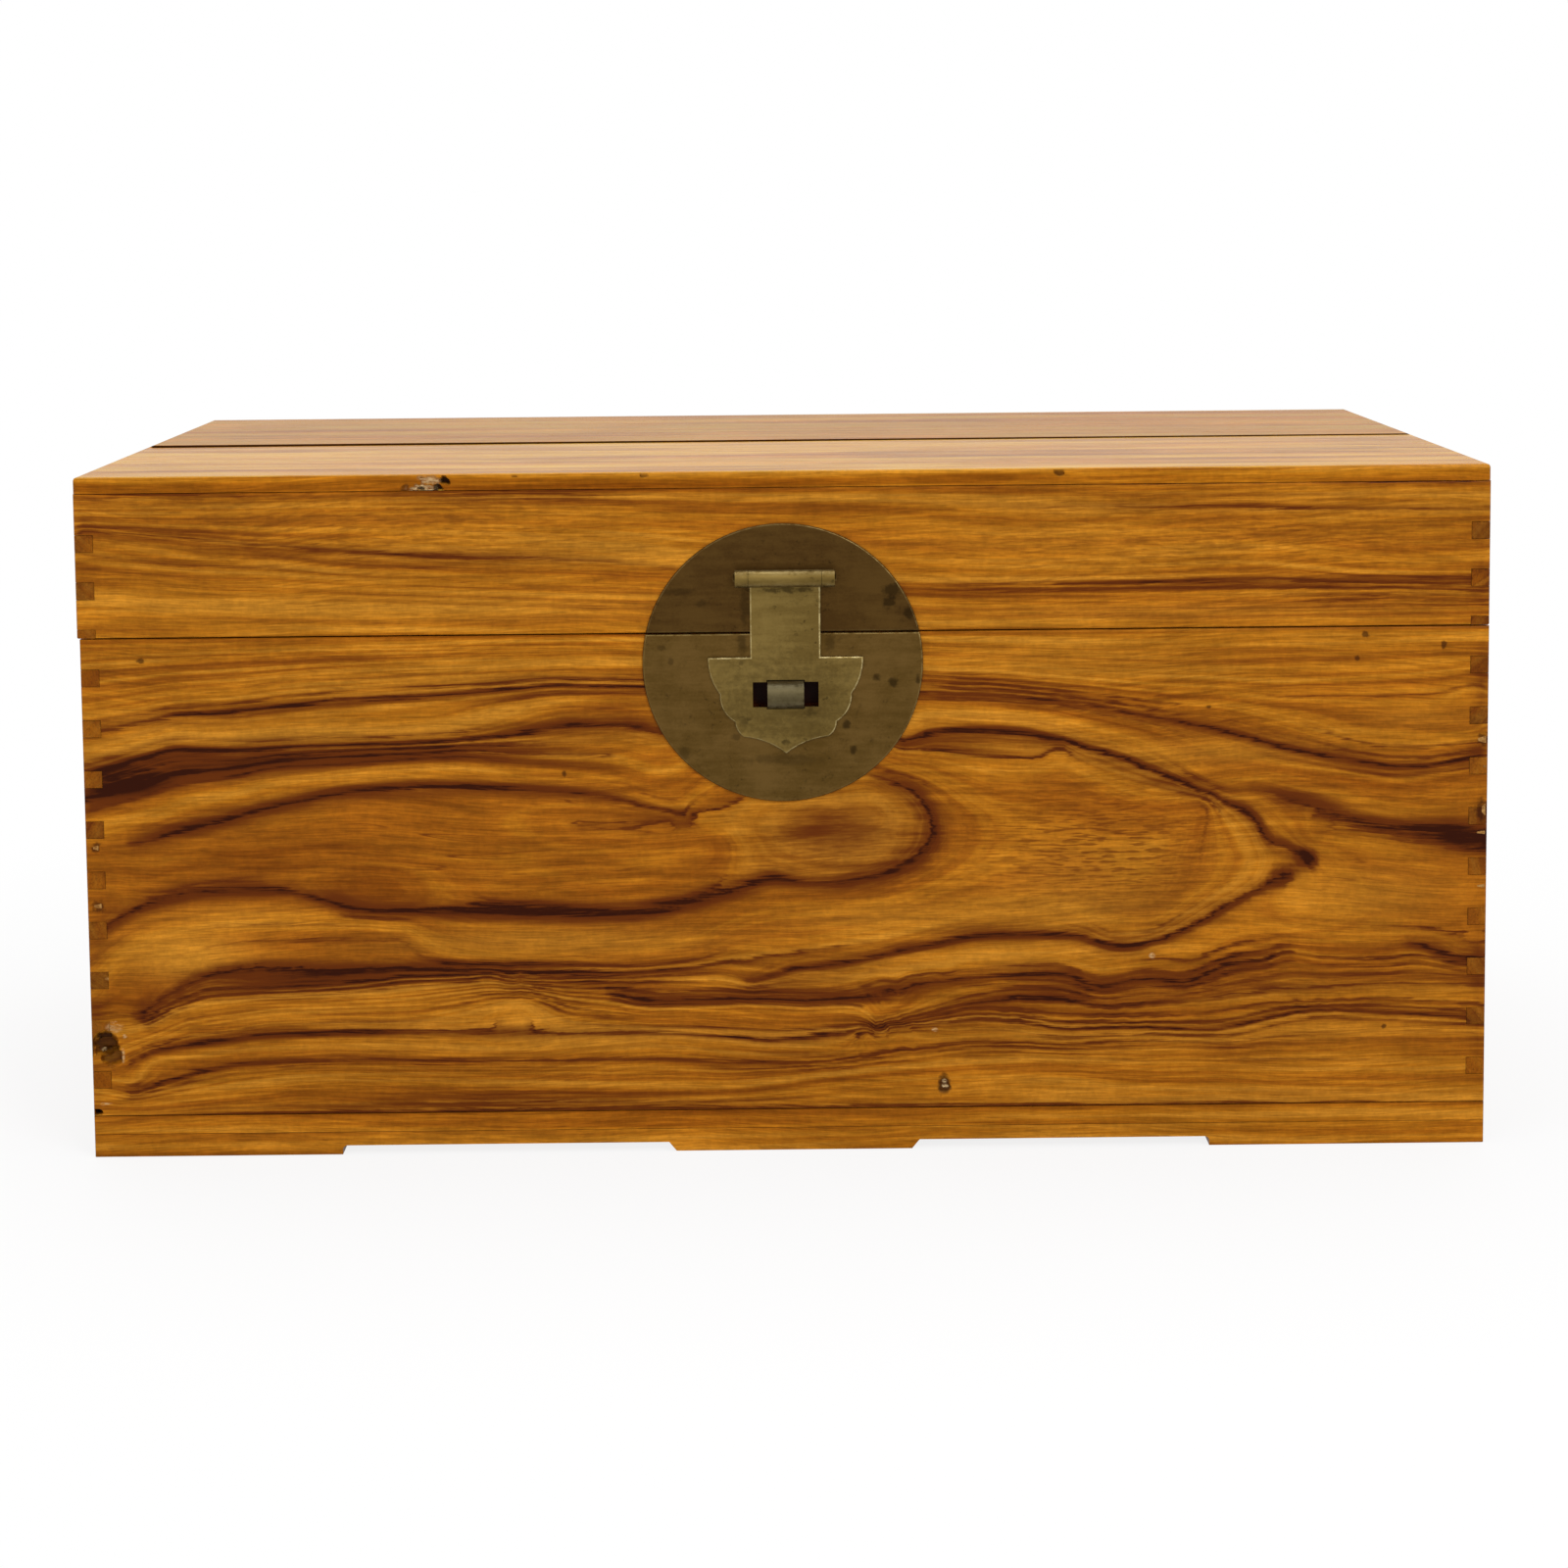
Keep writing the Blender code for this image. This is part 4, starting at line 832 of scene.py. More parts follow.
    def ground(self, tree: Tree, grain: Grain) -> Socket:
        """Colour of the wood between its dark lines."""
        stops = ((0.39, self.pale), (0.475, self.gold), (0.535, self.amber), (0.64, self.tan))
        colour = tree.colours(grain.band, stops)
        pale = tree.times(tree.attribute("pale"), 0.75, clamp=True)
        colour = tree.blend(pale, colour, self.pale)
        cloud = tree.noise(grain.place, self.cloud_waves, 4.0, 0.6)
        mottle = tree.noise(grain.place, self.mottle_waves, 3.0, 0.6)
        shade: Feed = 1.0
        for value, *ends in (
            (grain.fibre, 0.34, 0.66, 1.18, 0.80),
            (cloud, 0.34, 0.66, 1.12, 0.88),
            (grain.streaky, 0.32, 0.68, 1.09, 0.86),
            (mottle, 0.30, 0.70, 1.08, 0.92),
        ):
            shade = tree.times(shade, tree.steps(value, *ends))
        colour = tree.blend(1.0, colour, tree.combine(shade, shade, shade), "MULTIPLY")
        pores = tree.times(tree.steps(grain.pores, 0.60, 0.70), self.pore_tone)
        return tree.blend(pores, colour, self.brown)

    def flecks(self, tree: Tree, grain: Grain) -> Socket:
        """How far short flecks and thin broken threads cover the wood."""
        dash = tree.noise(grain.lay, self.dash_waves, 1.0)
        flecks = tree.times(tree.steps(dash, 0.49, 0.63, 0.0, 0.55), tree.attribute("fleck"))
        strand = tree.noise(grain.lay, self.strand_waves, 1.0)
        strand = tree.math("ABSOLUTE", tree.math("SUBTRACT", strand, 0.5))
        broken = tree.steps(tree.noise(grain.lay, self.gap_waves, 1.0), 0.50, 0.58)
        threads = tree.times(tree.steps(strand, 0.014, 0.002), broken)
        threads = tree.times(threads, tree.attribute("thread"))
        return tree.times(tree.math("MAXIMUM", flecks, threads), 0.85, clamp=True)

    def ends(self, tree: Tree, grain: Grain) -> Socket:
        """Colour of the end grain, some of it worn nearly as light as the face."""
        worn = tree.noise(grain.place, self.worn_waves, 1.0)
        grit = tree.noise(grain.place, self.grit_waves, 3.0, 0.6)
        colour = tree.colours(worn, ((0.36, self.end_grain), (0.48, self.brown), (0.60, self.tan)))
        return tree.blend(tree.steps(grit, 0.45, 0.70, 0.0, 0.6), colour, self.umber)

    def sheened(self, tree: Tree, grain: Grain, colour: Socket) -> Socket:
        """Lay the painted sheen, a pale reflection, in streaks over faces that look up."""
        drift = tree.steps(grain.streaky, 0.32, 0.68, 0.20, 0.70)
        drift = tree.times(drift, tree.steps(grain.fibre, 0.3, 0.7, 0.7, 1.2))
        sheet = tree.noise(grain.lay, self.sheet_waves, 4.0, 0.62)
        drift = tree.times(drift, tree.steps(sheet, 0.36, 0.64, 0.25, 1.75))
        upward = tree.steps(tree.facing(Axis.Z), 0.6, 0.95)
        return tree.blend(tree.times(upward, drift, clamp=True), colour, self.painted_sheen)

    def marked(self, tree: Tree, grain: Grain, colour: Socket) -> Socket:
        """Lay spots, scars, raw splinters and painted shade over the wood: black behind the hasp's window and
        in the lid's open joint.
        """
        if self.spots:
            ragged = tree.noise(grain.place, self.ragged_waves, 3.0, 0.6)
            for spot in self.spots:
                colour = tree.blend(spot.cover(tree, grain.place, ragged), colour, self.umber)
        # Brown over 2 goes black, painted shade behind the hasp's window; the scar numbers also carry the
        # painted shade of the lid's open joint.
        recess_shade = tree.steps(tree.attribute("bleed"), 2.0, 4.0)
        colour = tree.blend(tree.math("MAXIMUM", tree.attribute("scar"), recess_shade), colour, self.black)
        splinter = tree.steps(tree.noise(grain.lay, self.splinter_waves, 4.0, 0.7), 0.36, 0.60)
        return tree.blend(tree.times(tree.attribute("raw"), splinter), colour, self.raw)

    def material(self) -> bpy.types.Material:
        """Build the finish.

        Returns:
            A material that reads the numbers that its board's figure gives the mesh.
        """
        tree = Tree.of_material(self.name)
        grain = self.values(tree)
        dark = self.lines(tree, grain)
        colour = tree.blend(tree.steps(dark, 0.03, 0.62), self.ground(tree, grain), self.brown)
        colour = tree.blend(tree.steps(dark, 0.60, 1.10), colour, self.umber)
        # Faces that look up get a painted sheen.
        if self.painted_sheen is not None:
            colour = self.sheened(tree, grain, colour)
        colour = tree.blend(self.flecks(tree, grain), colour, self.brown)
        facing_end = tree.steps(tree.facing(self.grain), 0.6, 0.8, 0.0, self.end_tone)
        colour = tree.blend(facing_end, colour, self.ends(tree, grain))
        tree.surface({
            "Base Color": self.marked(tree, grain, colour),
            "Roughness": tree.steps(grain.fibre, 0.2, 0.8, self.roughness - 0.06, self.roughness + 0.08),
            "Specular IOR Level": self.gloss,
        })
        tree.ripple(tree.plus(grain.fibre, tree.times(grain.pores, 0.6)), 0.0002, 0.16)
        return tree.owner


@dataclass(frozen=True)
class AgedBrass:
    """Olive-brown brass, brighter along its edges, where the surface turns away from its face: partly wear,
    partly a painted highlight.

    Rims are brightest where they face up and to the right: a painted highlight on that side.
    """

    name: str
    clean: Colour = (0.120, 0.070, 0.018, 1.0)
    tarnish: Colour = (0.078, 0.044, 0.010, 1.0)
    # Colour of worn edges, which also serves as a painted highlight.
    wear_and_highlight: Colour = (0.40, 0.31, 0.14, 1.0)
    black: Colour = (0.016, 0.009, 0.003, 1.0)
    spots: tuple[Spot, ...] = ()
    face: Axis = Axis.Y
    curve_wear_and_highlight: float = 0.36
    roughness: float = 0.44
    grime_tone: float = 0.7
    # Way that the painted highlight on the rims faces: up and to the right.
    lit_way: Triple = (0.8, 0.0, 0.5)
    cloud_waves: Triple = (24.0, 24.0, 30.0)
    smear_waves: Triple = (24.0, 24.0, 190.0)
    grit_waves: Triple = (700.0, 700.0, 700.0)
    ragged_waves: Triple = (210.0, 210.0, 260.0)

    def material(self) -> bpy.types.Material:
        """Build the finish."""
        tree = Tree.of_material(self.name)
        place = tree.object_place()
        cloud = tree.noise(place, self.cloud_waves, 6.0, 0.66)
        smear = tree.noise(place, self.smear_waves, 5.0, 0.62)
        grit = tree.noise(place, self.grit_waves, 3.0, 0.6)
        ragged = tree.noise(place, self.ragged_waves, 4.0, 0.65)
        tone = tree.plus(tree.times(cloud, 0.60), tree.times(smear, 0.40))
        tone = tree.plus(tone, tree.math("MULTIPLY_ADD", grit, 0.14, -0.07))
        colour = tree.blend(tree.steps(tone, 0.38, 0.62), self.tarnish, self.clean)
        darkening = tree.times(tree.steps(ragged, 0.56, 0.74), tree.steps(cloud, 0.58, 0.40))
        colour = tree.blend(tree.times(darkening, self.grime_tone), colour, self.black)
        # Spots darken the brass; some of them are painted shade round the hasp.
        for spot in self.spots:
            colour = tree.blend(spot.cover(tree, place, ragged), colour, self.black)
        # Curves and rims turned from the face take the worn colour, which is also a painted highlight; on
        # rims it is strongest facing up and to the right.
        tilt = tree.steps(tree.facing(self.face), 0.50, 0.99, self.curve_wear_and_highlight, 0.0)
        lit_way = tree.vector("DOT_PRODUCT", tree.normal(), self.lit_way).outputs["Value"]
        rim = tree.times(tree.attribute("rim"), tree.steps(lit_way, -0.45, 0.55, 0.12, 1.0))
        edge = tree.math("MAXIMUM", tilt, rim)
        worn = tree.times(edge, tree.steps(ragged, 0.40, 0.62, 1.0, 0.20))
        tree.surface({
            "Base Color": tree.blend(worn, colour, self.wear_and_highlight),
            "Metallic": 1.0,
            "Roughness": tree.steps(tone, 0.3, 0.7, self.roughness + 0.10, self.roughness - 0.06),
        })
        tree.ripple(tree.plus(cloud, tree.times(grit, 0.10)), 0.0006, 0.22)
        return tree.owner


@dataclass(frozen=True)
class Opening:
    """An upright area on the front, by its middle along X and Z and its half sizes."""

    middle: tuple[float, float]
    halves: tuple[float, float]


@dataclass
class Bench:
    """One piece at a time, worked on with Blender's own operators.

    Square and flatness are how squarely a face looks along an axis to count as facing it or as flat.
    Broad is the least share of the widest face's area that a wide face has.
    """

    piece: bpy.types.Object
    square: ClassVar[float] = 0.99
    broad: ClassVar[float] = 0.2
    flatness: ClassVar[float] = 0.9995
    flat_degrees: ClassVar[float] = 0.5
    smooth_degrees: ClassVar[float] = 40.0
    rim_degrees: ClassVar[float] = 32.0
    rim_strips: ClassVar[int] = 3

    @classmethod
    def clear(cls) -> None:
        """Deselect everything."""
        bpy.ops.object.select_all(action="DESELECT")

    @classmethod
    def placed(
        cls, model: bpy.types.Object, name: str, place: Triple, size: Triple = (1.0, 1.0, 1.0),
    ) -> "Bench":
        """Copy a model to its place.

        Args:
            model: The piece to copy.
            name: The copy's name.
            place: Where it goes.
            size: Its size along each axis, in sizes of the model.

        Returns:
            A bench with the copy, which is smooth and has a mesh of its own.
        """
        cls(model).take()
        bpy.ops.object.duplicate()
        piece = bpy.context.active_object
        piece.name = piece.data.name = name
        piece.location = place
        piece.scale = size
        bpy.ops.object.transform_apply(location=True, rotation=True, scale=True)
        bench = cls(piece)
        bench.smooth()
        return bench

    @classmethod
    def copy_of(cls, node: str) -> "Bench":
        """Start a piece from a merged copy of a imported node.

        Args:
            node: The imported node's name.

        Returns:
            A bench with the copy, whose flat faces are whole again.
        """
        cls(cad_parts[node]).take()
        bpy.ops.object.duplicate()
        piece = bpy.context.active_object
        piece.name = f"{node}_dressed"
        piece.data.name = piece.name
        piece.parent = None
        for key in list(piece.keys()):
            del piece[key]
        piece.data.materials.clear()
        bpy.ops.mesh.customdata_custom_splitnormals_clear()
        bpy.ops.object.mode_set(mode="EDIT")
        bpy.ops.mesh.select_all(action="SELECT")
        bpy.ops.mesh.remove_doubles(threshold=SAME)
        bpy.ops.mesh.dissolve_limited(angle_limit=math.radians(cls.flat_degrees))
        bpy.ops.object.mode_set(mode="OBJECT")
        return cls(piece)

    def slice(self, axis: Axis, step: float) -> None:
        """Cut the piece into even strips along an axis, without parting it.

        Args:
            axis: The axis that the cuts stand across.
            step: Largest width of a strip.
        """
        places = np.array([v.co for v in self.piece.data.vertices], float)[:, axis.value]
        low, high = places.min(), places.max()
        count = max(1, math.ceil((high - low) / step))
        self.cut(axis, np.linspace(low, high, count + 1)[1:-1])

    def cut(self, axis: Axis, places: Sequence[float]) -> None:
        """Cut the piece across an axis at some places, without parting it."""
        normal = [0.0, 0.0, 0.0]
        normal[axis.value] = 1.0
        bpy.ops.object.mode_set(mode="EDIT")
        for place in places:
            bpy.ops.mesh.select_all(action="SELECT")
            bpy.ops.mesh.bisect(plane_co=[step * float(place) for step in normal], plane_no=normal)
        bpy.ops.object.mode_set(mode="OBJECT")

    def faces(self) -> tuple[np.ndarray, np.ndarray]:
        """Middles and normals of the faces, as rows."""
        polygons = self.piece.data.polygons
        return np.array([face.center for face in polygons]), np.array([face.normal for face in polygons])

    def refine(self, picked: np.ndarray, cuts: int) -> None:
        """Divide some faces finely.

        Args:
            picked: Whether each face is divided.
            cuts: Number of cuts across each.
        """
        if not picked.any():
            return
        self.take()
        bpy.context.tool_settings.mesh_select_mode = (False, False, True)
        bpy.ops.object.mode_set(mode="EDIT")
        bpy.ops.mesh.select_all(action="DESELECT")
        bpy.ops.object.mode_set(mode="OBJECT")
        self.piece.data.polygons.foreach_set("select", picked)
        bpy.ops.object.mode_set(mode="EDIT")
        bpy.ops.mesh.subdivide(number_cuts=cuts)
        bpy.ops.object.mode_set(mode="OBJECT")
        bpy.context.tool_settings.mesh_select_mode = (True, False, False)

    def take(self) -> None:
        """Select the piece alone and make it active."""
        self.clear()
        self.piece.select_set(True)
        bpy.context.view_layer.objects.active = self.piece

    def broad_planes(self, side: Side) -> list[float]:
        """Where the wide flat faces on one side lie along that side's axis, the widest first."""
        axis, sign = side.value
        faces = [face for face in self.piece.data.polygons if face.normal[axis.value] * sign > self.square]
        faces.sort(key=lambda face: -face.area)
        return [face.center[axis.value] for face in faces if face.area > self.broad * faces[0].area]

    def ease(self, side: Side, width: float, opening: Opening | None = None) -> None:
        """Round the rims of the wide flat faces on one side.

        Args:
            side: The side that the faces look to.
            width: Width of the rounding.
            opening: An opening whose edges stay sharp.
        """
        axis = side.value[0].value
        planes = self.broad_planes(side)
        self.take()
        bpy.context.tool_settings.mesh_select_mode = (False, True, False)
        bpy.ops.object.mode_set(mode="EDIT")
        bpy.ops.mesh.select_all(action="DESELECT")
        bpy.ops.mesh.edges_select_sharp(sharpness=math.radians(self.rim_degrees))
        bpy.ops.object.mode_set(mode="OBJECT")
        mesh = self.piece.data
        flat = np.array([min(abs(v.co[axis] - plane) for plane in planes) < SAME for v in mesh.vertices])
        if opening is not None:
            places = np.array([v.co for v in mesh.vertices])[:, (0, 2)]
            flat &= np.any(np.abs(places - opening.middle) > opening.halves, axis=1)
        rim = [edge.select and all(flat[k] for k in edge.vertices) for edge in mesh.edges]
        mesh.polygons.foreach_set("select", [False] * len(mesh.polygons))
        mesh.vertices.foreach_set("select", [False] * len(mesh.vertices))
        mesh.edges.foreach_set("select", rim)
        bpy.ops.object.mode_set(mode="EDIT")
        bpy.ops.mesh.bevel(offset=width, segments=self.rim_strips, affect="EDGES", clamp_overlap=False)
        bpy.ops.mesh.select_mode(type="FACE")
        bpy.ops.object.mode_set(mode="OBJECT")
        rounded = [float(face.select and abs(face.normal[axis]) < self.flatness) for face in mesh.polygons]
        mesh.attributes.new("rim", "FLOAT", "FACE").data.foreach_set("value", rounded)
        bpy.context.tool_settings.mesh_select_mode = (True, False, False)

    def smooth(self) -> None:
        """Shade the piece smooth up to an angle, with its broad faces flat."""
        self.take()
        bpy.ops.object.shade_smooth_by_angle(angle=math.radians(self.smooth_degrees))
        even = self.piece.modifiers.new("even", "WEIGHTED_NORMAL")
        even.keep_sharp = True
        bpy.ops.object.modifier_apply(modifier=even.name)

    def done(self, finish: bpy.types.Material, body: Body, slot: Slot, *nodes: str) -> bpy.types.Object:
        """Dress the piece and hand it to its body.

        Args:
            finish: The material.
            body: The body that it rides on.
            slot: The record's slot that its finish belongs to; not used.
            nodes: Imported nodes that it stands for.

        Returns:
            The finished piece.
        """
        self.piece.data.materials.clear()
        self.piece.data.materials.append(finish)
        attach(self.piece, body.value)
        if nodes:
            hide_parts(*nodes)
        LOG.info("%s rides on %s", self.piece.name, body.value)
        return self.piece


class Turn(Enum):
    """How a board is cut out of its plank: as drawn, or turned end for end, over, or both."""

    AS_DRAWN = (1, 1)
    END_FOR_END = (-1, 1)
    OVER = (1, -1)
    BOTH = (-1, -1)


@dataclass(frozen=True)
class Scar:
    """A hole, chip or splinter on the front: its pixel in the photograph and its half sizes in pixels.

    Depth is in millimetres into the board, dark is how black it is, and raw how much pale fibre it shows.
    Reach, edge and slope, the width of its sides, are in half sizes.
    """

    name: str
    column: float
    row: float
    half_width: float
    half_height: float
    depth: float
    dark: float = 0.0
    raw: float = 0.0
    ragged: float = 0.45
    grit: float = 330.0
    reach: float = 2.0
    edge: float = 1.15
    slope: float = 0.5

    def middle(self) -> np.ndarray:
        """Its place along X and Z in the frame."""
        return np.array(FRONT_FACE.in_frame(self.column, self.row))

    def halves(self) -> np.ndarray:
        """Its half sizes in metres."""
        return np.array((self.half_width, self.half_height)) * FRONT_FACE.scale() * MM

    def strength(self, corners: np.ndarray) -> np.ndarray:
        """How deep in the scar points lie, from 0 at its ragged edge to 1 in its middle."""
        gaps = (corners[:, (0, 2)] - self.middle()) / self.halves()
        far = np.hypot(*gaps.T)
        near = np.flatnonzero(far < self.reach)
        far[near] += [self.ragged * noise.noise(Vector(corners[k]) * self.grit) for k in near]
        share = np.clip((self.edge - far) / self.slope, 0.0, 1.0)
        return share * share * (3.0 - 2.0 * share)


KNOT_SCARS = (
    Scar("knot hole", 107, 1068, 13, 13, 5.0, dark=0.84, ragged=0.22),
    Scar("lower lobe", 114, 1081, 11, 10, 3.5, dark=0.72, ragged=0.22),
    Scar("rim above", 117, 1051, 8, 6, -0.7, raw=0.32),
    Scar("rim at the right", 125.5, 1080, 1.8, 8, -0.5, raw=0.6, ragged=0.25),
    Scar("bright splinter", 127.5, 1060, 2.2, 2.2, -0.4, raw=1.0),
    Scar("splinter in the hole", 104.5, 1076, 2.0, 1.6, -0.6, raw=0.8),
    Scar("low splinter", 107, 1131, 6, 1.4, 0.3, raw=0.6),
    Scar("notch", 98, 1140, 6, 3.0, 6.0, dark=1.0, ragged=0.2),
)

FRONT_SCARS = KNOT_SCARS + (
    Scar("plug hole", 963.5, 1113.5, 7, 11.5, 1.2, dark=0.86, ragged=0.3),
    Scar("plug, upper splinter", 963.5, 1109.5, 2.6, 2.2, -0.6, raw=0.9),
    Scar("plug, lower splinter", 964, 1115, 3.4, 2.0, -0.6, raw=0.9),
    Scar("pale chip under the second eye", 1175, 978, 3, 3, 0.5, raw=0.7),
    Scar("pale chip below", 953, 1055, 3, 2, 0.4, raw=0.5),
)

LID_TOP_SCARS = (
    Scar("chip", 446, 486, 11, 5.5, 2.2, dark=0.25, raw=0.7, ragged=0.7),
    Scar("chip, lower", 437, 495.5, 15, 4.5, 1.8, dark=0.20, raw=0.9, ragged=0.7),
    Scar("hole at the right", 459, 487, 5.5, 4.0, 5.0, dark=0.90, ragged=0.75),
    Scar("slanting hole", 452, 494, 5.5, 3.2, 4.0, dark=0.86, ragged=0.75),
    Scar("small hole", 435, 495.5, 4, 1.8, 4.0, dark=0.95),
    Scar("bruise at the left", 419, 495, 5, 4, 0.6, dark=0.55),
    Scar("first dent", 330, 482, 4, 2.6, 1.0, dark=0.6),
    Scar("second dent", 530, 481, 4, 2.6, 1.0, dark=0.6),
    Scar("third dent", 660, 481, 4, 2.6, 1.0, dark=0.6),
    Scar("fourth dent", 1078, 478, 5, 2.6, 1.2, dark=0.7),
)


class Joint(Enum):
    """Part of a board in the lid top's open joint: none, the sunk edge, or the edge behind it, painted dark
    as shade in the gap.
    """

    NONE = 0
    SUNK = 1
    GRIMY = 2


@dataclass(frozen=True)
class Board:
    """A board of the trunk, cut from a plank with a drawn figure."""

    node: str
    body: Body
    grain: Axis
    across: Axis
    figure: Figure
    cell: float = 0.012
    turn: Turn = Turn.AS_DRAWN
    shift: tuple[float, float] = (0.0, 0.0)
    thickness_level: float = 0.06
    scars: tuple[Scar, ...] = ()
    scar_cell: float = 0.0008
    scar_margin: float = 1.3
    square: float = 0.9
    joint: Joint = Joint.NONE
    sink: float = 0.0016
    sink_reach: float = 0.060
    shade_drop: float = 0.0002
    # Darkness of the painted shade on the edge behind the lid's open joint.
    darkening: float = 0.9

    def plank_places(self, corners: np.ndarray) -> np.ndarray:
        """Places on the plank, in millimetres along and down, of points of the board."""
        low, high = box_of(self.node)
        ends, edges = self.turn.value
        along = corners[:, self.grain.value]
        across = corners[:, self.across.value]
        run = along - low[self.grain.value] if ends > 0 else high[self.grain.value] - along
        drop = high[self.across.value] - across if edges > 0 else across - low[self.across.value]
        return np.column_stack((run / MM + self.shift[0], drop / MM + self.shift[1]))

    def refine_scars(self, bench: Bench) -> None:
        """Divide the faces round the scars finely, on the front and just behind its upper arris."""
        front = box_of(self.node)[0][1]
        middles, normals = bench.faces()
        ahead = (normals[:, 1] < -self.square) & (np.abs(middles[:, 1] - front) < NEAR)
        above = (normals[:, 2] > self.square) & (middles[:, 1] < front + self.cell)
        near = np.zeros(len(middles), bool)
        for scar in self.scars:
            reach = scar.halves() * self.scar_margin + self.cell / 2
            near |= np.all(np.abs(middles[:, (0, 2)] - scar.middle()) < reach, axis=1)
        bench.refine((ahead | above) & near, math.ceil(self.cell / self.scar_cell))

    def carve(self, corners: np.ndarray) -> tuple[np.ndarray, np.ndarray, np.ndarray]:
        """Push the points of the front in where the scars are.

        Args:
            corners: The board's points.

        Returns:
            The moved points, how black each is and how much pale fibre it shows.
        """
        moved = corners.copy()
        dark = np.zeros(len(corners))
        raw = np.zeros(len(corners))
        ahead = np.flatnonzero(corners[:, 1] < box_of(self.node)[0][1] + NEAR)
        for scar in self.scars:
            strength = scar.strength(corners[ahead])
            moved[ahead, 1] += strength * scar.depth * MM
            dark[ahead] = np.maximum(dark[ahead], strength * scar.dark)
            raw[ahead] = np.maximum(raw[ahead], strength * scar.raw)
        return moved, dark, raw

    def open_joint(self, corners: np.ndarray, dark: np.ndarray) -> None:
        """Let the edge in the lid's joint sink toward the left, or blacken the edge behind it with painted
        shade.
        """
        low, high = box_of(self.node)
        share = 0.5 + 0.5 * (high[0] - corners[:, 0]) / (high[0] - low[0])
        if self.joint is Joint.SUNK:
            closeness = np.clip(1.0 - (high[1] - corners[:, 1]) / self.sink_reach, 0.0, 1.0)
            top = corners[:, 2] > high[2] - NEAR
            corners[:, 2] -= np.where(top, self.sink * share * closeness**2, 0.0)
        if self.joint is Joint.GRIMY:
            # The rear board's front edge below its top is painted dark: shade in the gap.
            edge = (corners[:, 1] < low[1] + NEAR) & (corners[:, 2] < high[2] - self.shade_drop / 2)
            dark[edge] = self.darkening

    def build(self, finish: bpy.types.Material) -> bpy.types.Object:
        """Cut the board into cells, give each corner its numbers, carve its scars and dress it.

        Args:
            finish: The wood's material.

        Returns:
            The dressed board.
        """
        bench = Bench.copy_of(self.node)
        bench.slice(self.grain, self.cell)
        bench.slice(self.across, self.cell)
        if self.scars:
            self.refine_scars(bench)
        if self.joint is Joint.GRIMY:
            bench.cut(Axis.Z, [box_of(self.node)[1][2] - self.shade_drop])
        mesh = bench.piece.data
        corners = np.array([v.co for v in mesh.vertices], float)
        numbers = self.figure.numbers(self.plank_places(corners))
        depth_axis = 3 - self.grain.value - self.across.value
        depth = corners[:, depth_axis] - corners[:, depth_axis].min()
        numbers["ring"] = numbers["ring"] + self.thickness_level * depth / MM
        corners, numbers["scar"], numbers["raw"] = self.carve(corners)
        # The scar numbers also take the painted shade of the lid's open joint.
        self.open_joint(corners, numbers["scar"])
        mesh.vertices.foreach_set("co", corners.astype(np.float32).ravel())
        for name, values in numbers.items():
            layer = mesh.attributes.new(name, "FLOAT", "POINT")
            layer.data.foreach_set("value", values.astype(np.float32))
        mesh.update()
        return bench.done(finish, self.body, Slot.WOOD, self.node)


